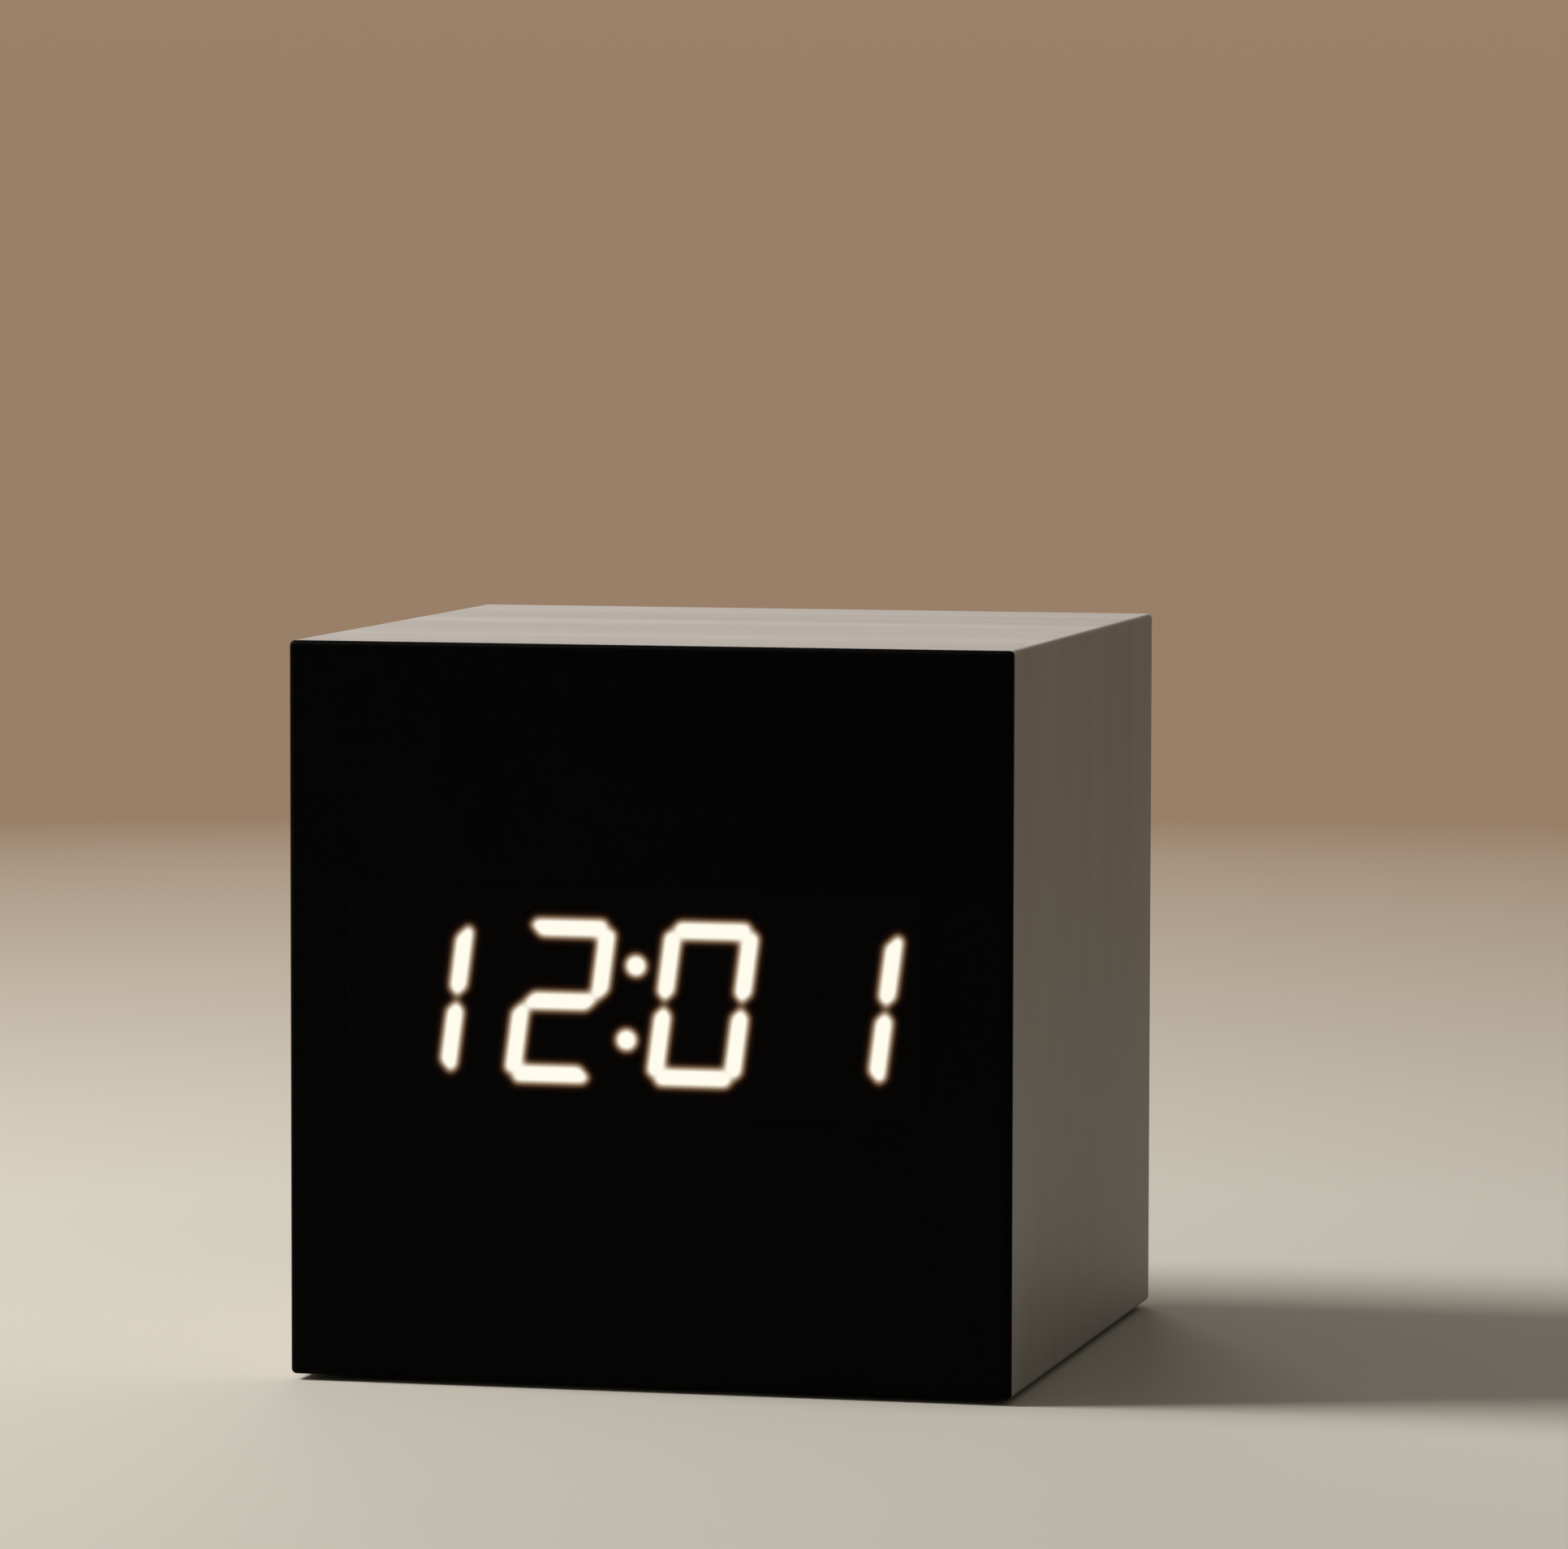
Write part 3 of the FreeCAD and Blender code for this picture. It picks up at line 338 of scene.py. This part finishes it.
def bare_metal(name, colour, rough, scratch, stained=0.35):
    """Metal with fine marks, whose size along each axis is scratch, and faint stains."""
    s = Surface(name, colour, metal=1.0)
    marks = s.noise(scratch, detail=4, rough=0.6)
    stains = s.noise(1.8 * MM, shift=(2, 4, 6))
    tone = s.tones(marks, shade(colour, 0.86), shade(colour, 1.08))
    s.to("Base Color", s.mix(s.span(stains, 0.45, 0.75, 0.0, stained), tone, shade(colour, 0.65)))
    s.to("Roughness", s.vary(marks, rough * 0.75, rough * 1.35))
    s.bump(marks, 0.004 * MM)
    return s.material


CELLS = (1, 2, 3)
CELL_STEEL = (0.62, 0.61, 0.58)
CELL_BAND = (0.60, 0.60, 0.58)
CELL_SLEEVE = (0.02, 0.085, 0.125)
CELL_INK = (0.02, 0.03, 0.04)
CELL_PRINT = (                      # each colour, from this share of the length past the button's tip
    (0.0, CELL_STEEL), (0.045, CELL_BAND), (0.25, CELL_SLEEVE), (0.262, CELL_BAND),
    (0.274, CELL_SLEEVE), (0.90, CELL_BAND), (0.915, CELL_SLEEVE), (0.982, CELL_STEEL),
)
CELL_METAL = ((0.0, 1.0), (0.045, 0.55), (0.25, 0.3), (0.982, 1.0))    # and how metallic it is
SIGN_ARM = 1.4 * MM                 # half the length and width of the strokes of + and -
SIGN_STROKE = 0.28 * MM
PLUS_AT = 6.6 * MM                  # the signs' distances from the button's tip
MINUS_AT = 36.5 * MM


def cell_jacket(node):
    """A printed sleeve between bare steel ends: pale with a + near the button, - near the other end."""
    low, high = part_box(node)
    button_x = max(low.x, high.x, key=abs)
    s = Surface("jacket_" + node, CELL_SLEEVE)
    reach = s.maths("ABSOLUTE", s.maths("SUBTRACT", s.axis("X"), button_x))
    across = s.maths("ABSOLUTE", s.maths("SUBTRACT", s.axis("Z"), (low.z + high.z) / 2))
    along = s.maths("DIVIDE", reach, high.x - low.x)
    bands = s.ramp(along, *CELL_PRINT, sharp=True)
    metal = s.ramp(along, *((place, (share,) * 3) for place, share in CELL_METAL), sharp=True)

    def stroke(centre, half_along, half_across):
        off = s.maths("ABSOLUTE", s.maths("SUBTRACT", reach, centre))
        within = s.maths("LESS_THAN", off, half_along)
        return s.maths("MULTIPLY", within, s.maths("LESS_THAN", across, half_across))

    rearwards = s.maths("GREATER_THAN", s.facing("Y"), 0.0)
    level_arm = stroke(PLUS_AT, SIGN_ARM, SIGN_STROKE)
    upright_arm = stroke(PLUS_AT, SIGN_STROKE, SIGN_ARM)
    plus = s.maths("MULTIPLY", s.maths("MAXIMUM", level_arm, upright_arm), rearwards)
    minus = s.maths("MULTIPLY", stroke(MINUS_AT, SIGN_ARM, SIGN_STROKE), rearwards)
    printed = s.mix(minus, s.mix(plus, bands, CELL_INK), CELL_BAND)
    scuffs = s.noise((3 * MM, 0.12 * MM, 0.12 * MM), detail=4)
    s.to("Base Color", s.mix(s.span(scuffs, 0.5, 0.8, 0.0, 0.2), printed, (0.3, 0.3, 0.3)))
    s.to("Metallic", metal)
    s.to("Roughness", s.vary(scuffs, 0.22, 0.38))
    s.bump(scuffs, 0.004 * MM)
    return s.material


SWITCH_COVER = 0.4 * MM             # how far the steel cover reaches down a switch


def switch_shell():
    """Black plastic under a pressed steel cover."""
    s = Surface("switch_shell", (0.03, 0.03, 0.03))
    cover_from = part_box("switch_bodies")[1].y - SWITCH_COVER
    cover = s.past(s.axis("Y"), cover_from, 0.04 * MM)
    fine = s.noise(0.15 * MM)
    dark = s.tones(fine, (0.02, 0.02, 0.02), (0.035, 0.035, 0.035))
    s.to("Base Color", s.mix(cover, dark, (0.62, 0.61, 0.57)))
    s.to("Metallic", cover)
    s.to("Roughness", s.vary(fine, 0.3, 0.42))
    s.bump(fine, 0.006 * MM)
    return s.material


BARE_LAMINATE = (0.42, 0.38, 0.20)
MASK_GREEN = (0.010, 0.085, 0.040)
TRACK_GREEN = (0.028, 0.18, 0.075)
TRACK_PITCH = 1.27 * MM


def green_board():
    """Solder mask over copper tracks that run one way or the other, with tinned through-holes."""
    s = Surface("green_board", MASK_GREEN)

    def tracks(letter):
        off_line = s.maths("PINGPONG", s.axis(letter), TRACK_PITCH / 2)
        return s.maths("SUBTRACT", 1.0, s.past(off_line, 0.2 * MM, 0.03 * MM))

    way = s.past(s.noise(6 * MM, detail=0), 0.5, 0.01)
    laid = s.past(s.noise(4 * MM, detail=1, shift=(3, 1, 2)), 0.42, 0.01)
    across = s.maths("MULTIPLY", tracks("X"), way)
    upright = s.maths("MULTIPLY", tracks("Z"), s.maths("SUBTRACT", 1.0, way))
    copper = s.maths("MULTIPLY", s.maths("ADD", across, upright), laid)
    tinned = s.maths("SUBTRACT", 1.0, s.past(s.pits(3.4 * MM), 0.12, 0.01))
    edge = s.maths("LESS_THAN", s.maths("ABSOLUTE", s.facing("Y")), 0.5)
    face = s.mix(tinned, s.mix(copper, MASK_GREEN, TRACK_GREEN), (0.6, 0.6, 0.57))
    s.to("Base Color", s.mix(edge, face, BARE_LAMINATE))
    s.to("Roughness", s.vary(s.noise(0.8 * MM), 0.25, 0.4))
    s.bump(copper, 0.03 * MM)
    return s.material


CABLE_RIBS = 5


def grey_cable():
    """A flat cable: ribs side by side, the first of them red, with painted shade in the grooves between
    them.
    """
    low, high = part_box("button_cable")
    rib = (high.x - low.x) / CABLE_RIBS
    s = Surface("grey_cable", (0.35, 0.35, 0.36))
    across = s.maths("SUBTRACT", s.axis("X"), low.x)
    height = s.maths("PINGPONG", across, rib / 2)
    # painted shade: the grooves between the ribs are darker grey than the ribs
    painted_groove_shade = s.past(height, 0.1 * rib, 0.1 * rib)
    grey = s.mix(painted_groove_shade, (0.16, 0.16, 0.17), (0.38, 0.38, 0.39))
    first = s.maths("LESS_THAN", across, rib)
    s.to("Base Color", s.mix(first, grey, (0.5, 0.03, 0.03)))
    s.to("Roughness", s.vary(s.noise(1 * MM), 0.4, 0.55))
    s.bump(s.span(height, 0.0, rib / 2), 0.2 * MM)
    return s.material


RESISTOR_PITCH = 2.4 * MM


def resistor_body():
    """Black chip resistors with tinned ends."""
    s = Surface("resistor_body", (0.03, 0.03, 0.03))
    off_middle = s.maths("PINGPONG", s.maths("ADD", s.axis("X"), RESISTOR_PITCH / 2), RESISTOR_PITCH / 2)
    end = s.past(off_middle, 0.55 * MM, 0.02 * MM)
    fine = s.noise(0.1 * MM)
    dark = s.tones(fine, (0.015, 0.015, 0.015), (0.04, 0.04, 0.04))
    s.to("Base Color", s.mix(end, dark, (0.66, 0.66, 0.64)))
    s.to("Metallic", end)
    s.to("Roughness", s.vary(fine, 0.3, 0.45))
    s.bump(fine, 0.005 * MM)
    return s.material


CAN_TOP = 0.25 * MM                 # how far the bare top reaches down the can
STRIPE_FROM = -0.86                 # the stripe is where the can faces -X at least this squarely


def capacitor_can():
    """A dark sleeve with a pale stripe for the negative side, and a bare aluminium top."""
    s = Surface("capacitor_can", (0.05, 0.06, 0.12))
    top = s.past(s.axis("Y"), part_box("capacitors")[1].y - CAN_TOP, 0.04 * MM)
    stripe = s.maths("LESS_THAN", s.facing("X"), STRIPE_FROM)
    wrinkles = s.noise((0.4 * MM, 2 * MM, 0.4 * MM))
    sleeve = s.mix(stripe, (0.03, 0.035, 0.08), (0.5, 0.52, 0.56))
    s.to("Base Color", s.mix(top, sleeve, (0.7, 0.7, 0.7)))
    s.to("Metallic", top)
    s.to("Roughness", s.vary(wrinkles, 0.25, 0.42))
    s.bump(wrinkles, 0.02 * MM)
    return s.material


def led_chip():
    """Yellow phosphor, grainy."""
    s = Surface("led_chip", (0.85, 0.72, 0.25))
    grain = s.pits(0.06 * MM)
    s.to("Base Color", s.ramp(grain, (0.1, (0.9, 0.78, 0.3)), (0.7, (0.75, 0.55, 0.14))))
    s.to("Roughness", s.span(grain, 0.1, 0.7, 0.5, 0.7))
    s.bump(grain, 0.01 * MM)
    return s.material


def segment_lit():
    """Cloudy epoxy, lit from behind."""
    s = Surface("segment_lit", (0.8, 0.77, 0.68), emission_strength=1.0)
    cloud = s.noise(0.8 * MM)
    s.to("Base Color", s.tones(cloud, (0.72, 0.69, 0.6), (0.85, 0.82, 0.74)))
    s.to("Roughness", s.vary(cloud, 0.4, 0.55))
    s.to("Emission Color", WHITE_LIGHT)
    s.bump(cloud, 0.006 * MM)
    return s.material


PLASTICS = {
    "grey_button": {"colour": (0.16, 0.16, 0.17), "cloudy": 1.3},
    "switch_black": {"colour": (0.03, 0.03, 0.03), "rough": 0.4},
    "switch_plunger": {"colour": (0.60, 0.58, 0.52), "rough": 0.5},
    "chip_black": {"colour": (0.02, 0.02, 0.022), "rough": 0.6},
    "led_housing": {"colour": (0.0035, 0.0035, 0.0035), "rough": 0.7},
    "segment_dark": {"colour": (0.004, 0.004, 0.004), "rough": 0.6},
    "white_nylon": {"colour": (0.80, 0.78, 0.72), "rough": 0.5},
    "red_wire": {"colour": (0.50, 0.02, 0.02), "rough": 0.4},
    "black_wire": {"colour": (0.02, 0.02, 0.02), "rough": 0.4},
    "bead_epoxy": {"colour": (0.02, 0.02, 0.02), "rough": 0.15},
}
METALS = {
    "zinc_steel": {
        "colour": (0.50, 0.52, 0.55), "rough": 0.26, "scratch": (0.9 * MM, 0.9 * MM, 0.1 * MM),
        "stained": 0.12,
    },
    "nickel": {"colour": (0.68, 0.65, 0.58), "rough": 0.2, "scratch": (0.8 * MM, 0.06 * MM, 0.06 * MM)},
    "brass_pin": {"colour": (0.80, 0.62, 0.30), "rough": 0.2, "scratch": (1.5 * MM, 0.05 * MM, 1.5 * MM)},
    "solder_tin": {"colour": (0.70, 0.70, 0.68), "rough": 0.3, "scratch": 0.25 * MM},
}
PATTERNED = (
    silver_film, smoke_film, fibreboard, black_fibreboard, pine, foam_rubber, black_abs, green_board,
    segment_lit, led_chip, grey_cable, resistor_body, capacitor_can,
)


def slot_finish(slot):
    """The material of a slot. A patterned finish has its slot's name."""
    if slot in PLASTICS:
        return plastic(slot, **PLASTICS[slot])
    if slot in METALS:
        return bare_metal(slot, **METALS[slot])
    return {maker.__name__: maker for maker in PATTERNED}[slot]()


def dress_nodes():
    """Gives each CAD node the finish of its slot, or one of its own. Returns the slots' finishes."""
    own = {f"cell_{number}": cell_jacket(f"cell_{number}") for number in CELLS}
    own["switch_bodies"] = switch_shell()
    made = {}
    for part in frame["record"]["subparts"]:
        node, slot = part["node"], part["material_slot"]
        if node not in own and slot not in made:
            made[slot] = slot_finish(slot)
        frame["nodes"][node].data.materials[0] = own.get(node) or made[slot]
    return made


# ---- pieces ----
def new_object(name, data):
    made = bpy.data.objects.new(name, data)
    bpy.context.scene.collection.objects.link(made)
    return made


def mesh_object(name, places, faces, material):
    mesh = bpy.data.meshes.new(name)
    mesh.from_pydata(places, [], faces)
    mesh.materials.append(material)
    return new_object(name, mesh)


def case_piece(piece):
    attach(piece, "case")
    return piece


# ---- the digits' light in the film ----
LIGHT_SPREAD = 0.29 * MM        # how far the film blurs the light
LIGHT_GAIN = 1.1                # so bright that the middle of a segment is past white
LIGHT_PITCH = 0.12 * MM         # spacing of the mesh that carries it
LIGHT_STEPS = 2                 # finer steps in each spacing, for the blur
LIGHT_FLOOR = 0.004             # the film is left alone where there is less light than this
BLUR_REACH = 4                  # how many spreads the blur reaches
SHEET_MARGIN = 5                # how many spreads the sheet may go past the segments
DECIMALS = 7                    # of a metre, to find the corners that two faces share


def lit_outlines():
    """The edges round the front faces of the lit segments and dots, as pairs of (x, z)."""
    uses = {}
    for name, node in frame["nodes"].items():
        if not name.endswith("_lit"):
            continue
        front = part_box(name)[0].y
        spots = [vertex.co for vertex in node.data.vertices]
        for face in node.data.polygons:
            if max(abs(spots[v].y - front) for v in face.vertices) > SAME:
                continue
            ring = [(round(spots[v].x, DECIMALS), round(spots[v].z, DECIMALS)) for v in face.vertices]
            for edge in zip(ring, ring[1:] + ring[:1]):
                uses[frozenset(edge)] = uses.get(frozenset(edge), 0) + 1
    return [tuple(edge) for edge, count in uses.items() if count == 1 and len(edge) == 2]


def light_level(edges, xs, zs):
    """How lit each point (z, x) of a grid is, from 0 to 1, once the film has blurred it."""
    inside = np.zeros((len(zs), len(xs)), bool)
    for (x0, z0), (x1, z1) in edges:
        rows = (z0 > zs) != (z1 > zs)
        if rows.any():                          # each edge to the right of a point flips it
            crossing = x0 + (zs[rows] - z0) * (x1 - x0) / (z1 - z0)
            inside[rows] ^= xs[None, :] < crossing[:, None]
    level = inside.astype(float)
    step = xs[1] - xs[0]
    reach = math.ceil(BLUR_REACH * LIGHT_SPREAD / step)
    bell = np.exp(-0.5 * (np.arange(-reach, reach + 1) * step / LIGHT_SPREAD) ** 2)
    bell /= bell.sum()
    for axis in (0, 1):                         # the blur, along one axis and then the other
        level = sum(share * np.roll(level, place - reach, axis) for place, share in enumerate(bell))
    return np.minimum(level * LIGHT_GAIN, 1.0)


def light_sheet():
    """A sheet within the film, only where light comes through, with its level at each point."""
    edges = lit_outlines()
    points = np.array(edges).reshape(-1, 2)
    margin = SHEET_MARGIN * LIGHT_SPREAD
    low, high = points.min(0) - margin, points.max(0) + margin
    fine = LIGHT_PITCH / LIGHT_STEPS
    xs, zs = np.arange(low[0], high[0], fine), np.arange(low[1], high[1], fine)
    level = light_level(edges, xs, zs)[::LIGHT_STEPS, ::LIGHT_STEPS]
    xs, zs = xs[::LIGHT_STEPS], zs[::LIGHT_STEPS]
    lit = level > LIGHT_FLOOR
    cells = lit[:-1, :-1] | lit[1:, :-1] | lit[:-1, 1:] | lit[1:, 1:]
    numbers, places, levels = {}, [], []

    def corner(row, column):
        if (row, column) not in numbers:
            numbers[row, column] = len(places)
            places.append((xs[column], FRONT_Y + FILM / 2, zs[row]))
            levels.append(level[row, column])
        return numbers[row, column]

    faces = [
        (corner(row, column), corner(row, column + 1), corner(row + 1, column + 1), corner(row + 1, column))
        for row, column in zip(*np.nonzero(cells))
    ]
    sheet = mesh_object("display_light", places, faces, display_light())
    sheet.data.attributes.new("level", "FLOAT", "POINT").data.foreach_set("value", levels)
    return sheet


# ---- springs and solder ----
SPRING_WIRE_RADIUS = 0.25 * MM
SPRING_TURNS = 4.0
CLOSED_TURNS = 1                # flat turns at each end
SPRING_WIDE = 3.4 * MM          # radius at the contact plate
SPRING_NARROW = 2.6 * MM        # radius at the cell
PLATE = 0.3 * MM                # thickness of the contact plates
STEPS_A_TURN = 20


def cell_springs(material):
    """A conical spring from the contact plate to the flat end of each cell."""
    curve = bpy.data.curves.new("cell_springs", "CURVE")
    curve.dimensions = "3D"
    curve.bevel_depth = SPRING_WIRE_RADIUS
    curve.bevel_resolution = 3
    for number in CELLS:
        low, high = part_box(f"cell_{number}")
        flat_x = min(low.x, high.x, key=abs)
        way = math.copysign(1, flat_x)
        wall_x = way * (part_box("battery_contacts")[1].x - PLATE - SPRING_WIRE_RADIUS)
        end_x = flat_x + way * SPRING_WIRE_RADIUS
        middle = (low + high) / 2
        spline = curve.splines.new("NURBS")
        steps = int((SPRING_TURNS + 2 * CLOSED_TURNS) * STEPS_A_TURN)
        spline.points.add(steps)
        for step, point in enumerate(spline.points):
            turns = step / STEPS_A_TURN
            share = min(max(turns - CLOSED_TURNS, 0) / SPRING_TURNS, 1)
            radius = SPRING_WIDE + (SPRING_NARROW - SPRING_WIDE) * share
            angle = math.tau * turns
            x = wall_x + (end_x - wall_x) * share
            point.co = (x, middle.y + radius * math.cos(angle), middle.z + radius * math.sin(angle), 1)
        spline.order_u = 4
        spline.use_endpoint_u = True
    curve.materials.append(material)
    return new_object("cell_springs", curve)


def islands(node):
    """The middle of each separate solid in a node."""
    mesh = frame["nodes"][node].data
    shape = bmesh.new()
    shape.from_mesh(mesh)
    bmesh.ops.remove_doubles(shape, verts=shape.verts, dist=SAME)
    seen, middles = set(), []
    for first in shape.verts:
        if first in seen:
            continue
        group, queue = [], [first]
        seen.add(first)
        while queue:
            here = queue.pop()
            group.append(here.co.copy())
            for edge in here.link_edges:
                other = edge.other_vert(here)
                if other not in seen:
                    seen.add(other)
                    queue.append(other)
        low = Vector(min(spot[axis] for spot in group) for axis in range(3))
        high = Vector(max(spot[axis] for spot in group) for axis in range(3))
        middles.append((low + high) / 2)
    shape.free()
    return middles


JOINT_PROFILE = (                   # a fillet's radius and height, in millimetres
    (0.95, 0.02), (0.80, 0.10), (0.62, 0.25), (0.48, 0.50), (0.42, 0.85),
)
JOINT_SIDES = 20


def solder_joints(material):
    """The fillet of solder round each pin of the display, on the main board."""
    places, faces = [], []
    for pin in islands("module_pins"):
        for radius, height in JOINT_PROFILE:
            for side in range(JOINT_SIDES):
                angle = math.tau * side / JOINT_SIDES
                places.append((
                    pin.x + radius * MM * math.cos(angle), BOARD_Y + height * MM,
                    pin.z + radius * MM * math.sin(angle),
                ))
        base = len(places) - len(JOINT_PROFILE) * JOINT_SIDES
        for ring in range(len(JOINT_PROFILE) - 1):
            for side in range(JOINT_SIDES):
                here = base + ring * JOINT_SIDES + side
                beside = base + ring * JOINT_SIDES + (side + 1) % JOINT_SIDES
                faces.append((here, here + JOINT_SIDES, beside + JOINT_SIDES, beside))
        top = base + (len(JOINT_PROFILE) - 1) * JOINT_SIDES
        faces.append(tuple(range(top + JOINT_SIDES - 1, top - 1, -1)))
    made = mesh_object("solder_joints", places, faces, material)
    for face in made.data.polygons:
        face.use_smooth = True
    return made


# ---- floor, light and camera ----
WALL_LOW = (0.32, 0.215, 0.14)      # the backdrop's colour at the horizon
WALL_HIGH = (0.40, 0.29, 0.18)      # and above WALL_FULL
WALL_FULL = 0.3                     # heights are the sine of the angle above the horizon
AIR_LOW = (0.03, 0.028, 0.024)      # the studio's light from the horizon
AIR_HIGH = (0.26, 0.245, 0.22)      # and from above AIR_FULL
AIR_FULL = 0.7
FLOOR_PALE = (0.53, 0.50, 0.43)
FLOOR_BOUNCE = (0.30, 0.275, 0.205)     # its colour in the light that it throws on the clock
FLOOR_FAR = (0.0, 0.0, 0.0)         # and where it glows in the backdrop's colour
PALE_TO = 0.12                      # how far from the clock's middle it is all pale
FAR_FROM = 0.6                      # and from where it is all backdrop
FLOOR_REACH = 3.0
RIM_SIDES = 96
LAMP_SIZE = 0.3
KEY_FROM = (-0.62, -0.12, 0.60)     # the lamps' places, from the clock's centre
KEY_LEVEL = 1.25
FILL_FROM = (-0.25, 0.80, 0.22)
FILL_LEVEL = 0.36


def floor():
    """A pale floor that turns into the backdrop with distance."""
    s = Surface("floor", FLOOR_PALE, rough=0.7, specular_ior_level=0.0)
    distance = s.node("ShaderNodeVectorMath", {"operation": "LENGTH"}, Vector=s.place()).outputs["Value"]
    far = s.span(distance, PALE_TO, FAR_FROM)
    near = s.mix(s.seen_directly(), FLOOR_BOUNCE, FLOOR_PALE)
    s.to("Base Color", s.mix(far, near, FLOOR_FAR))
    s.to("Emission Color", WALL_LOW)
    s.to("Emission Strength", s.maths("MULTIPLY", far, s.seen_directly()))
    turns = [math.tau * side / RIM_SIDES for side in range(RIM_SIDES)]
    rim = [(FLOOR_REACH * math.cos(turn), FLOOR_REACH * math.sin(turn), 0) for turn in turns]
    return mesh_object("floor", rim, [tuple(range(RIM_SIDES))], s.material)


def softbox(name, place, level):
    """A square lamp that faces the clock, and lights a white card that faces it to level."""
    data = bpy.data.lights.new(name, "AREA")
    data.shape = "SQUARE"
    data.size = LAMP_SIZE
    data.energy = level * math.pi ** 2 * Vector(place).length_squared
    made = new_object(name, data)
    made.location = CENTRE + Vector(place)
    made.rotation_euler = Vector(place).to_track_quat("Z", "Y").to_euler()
    return made


def studio():
    """Soft light from above, and a tan backdrop that lights nothing."""
    world = bpy.data.worlds.new("studio")
    bpy.context.scene.world = world
    world.use_nodes = True
    n = Nodes(world.node_tree)
    height = n.part("Z", n.node("ShaderNodeTexCoord").outputs["Generated"])
    air = n.mix(n.span(height, 0.0, AIR_FULL), AIR_LOW, AIR_HIGH)
    wall = n.mix(n.span(height, 0.0, WALL_FULL), WALL_LOW, WALL_HIGH)
    n.feed(n.nodes["Background"].inputs["Color"], n.mix(n.seen_directly(), air, wall))


CAMERA_YAW = math.radians(13.255)       # to the right of straight ahead
CAMERA_PITCH = math.radians(4.135)      # above the horizon
CAMERA_ROLL = math.radians(0.114)
CAMERA_AWAY = 698.3 * MM
CLOCK_RIGHT = -4.31 * MM                # the cube's centre, from the middle of the picture
CLOCK_UP = -18.35 * MM
SENSOR = 36.0                           # millimetres, as Blender counts them
LENS_IN_PIXELS = 9728.8
LENS = LENS_IN_PIXELS / PICTURE_WIDE * SENSOR


def camera():
    """The camera, turned about the clock by its yaw, pitch and roll."""
    data = bpy.data.cameras.new("camera")
    data.sensor_width = SENSOR
    data.lens = LENS
    made = new_object("camera", data)
    turn = (
        Matrix.Rotation(CAMERA_ROLL, 3, "Y")
        @ Matrix.Rotation(CAMERA_PITCH, 3, "X")
        @ Matrix.Rotation(-CAMERA_YAW, 3, "Z")
    ).transposed()
    right, ahead, up = turn.col
    place = CENTRE - turn @ Vector((CLOCK_RIGHT, CAMERA_AWAY, CLOCK_UP))
    axes = Matrix((right, up, -ahead)).transposed()
    made.matrix_world = Matrix.Translation(place) @ axes.to_4x4()
    bpy.context.scene.camera = made


camera()
floor()
softbox("key", KEY_FROM, KEY_LEVEL)
fill = softbox("fill", FILL_FROM, FILL_LEVEL)
fill.visible_glossy = False             # from behind, it would glare on the top
studio()

finishes = dress_nodes()
case_piece(light_sheet())
case_piece(solder_joints(finishes["solder_tin"]))
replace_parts(case_piece(cell_springs(finishes["nickel"])), "battery_springs")

bpy.context.scene.view_settings.view_transform = "Standard"
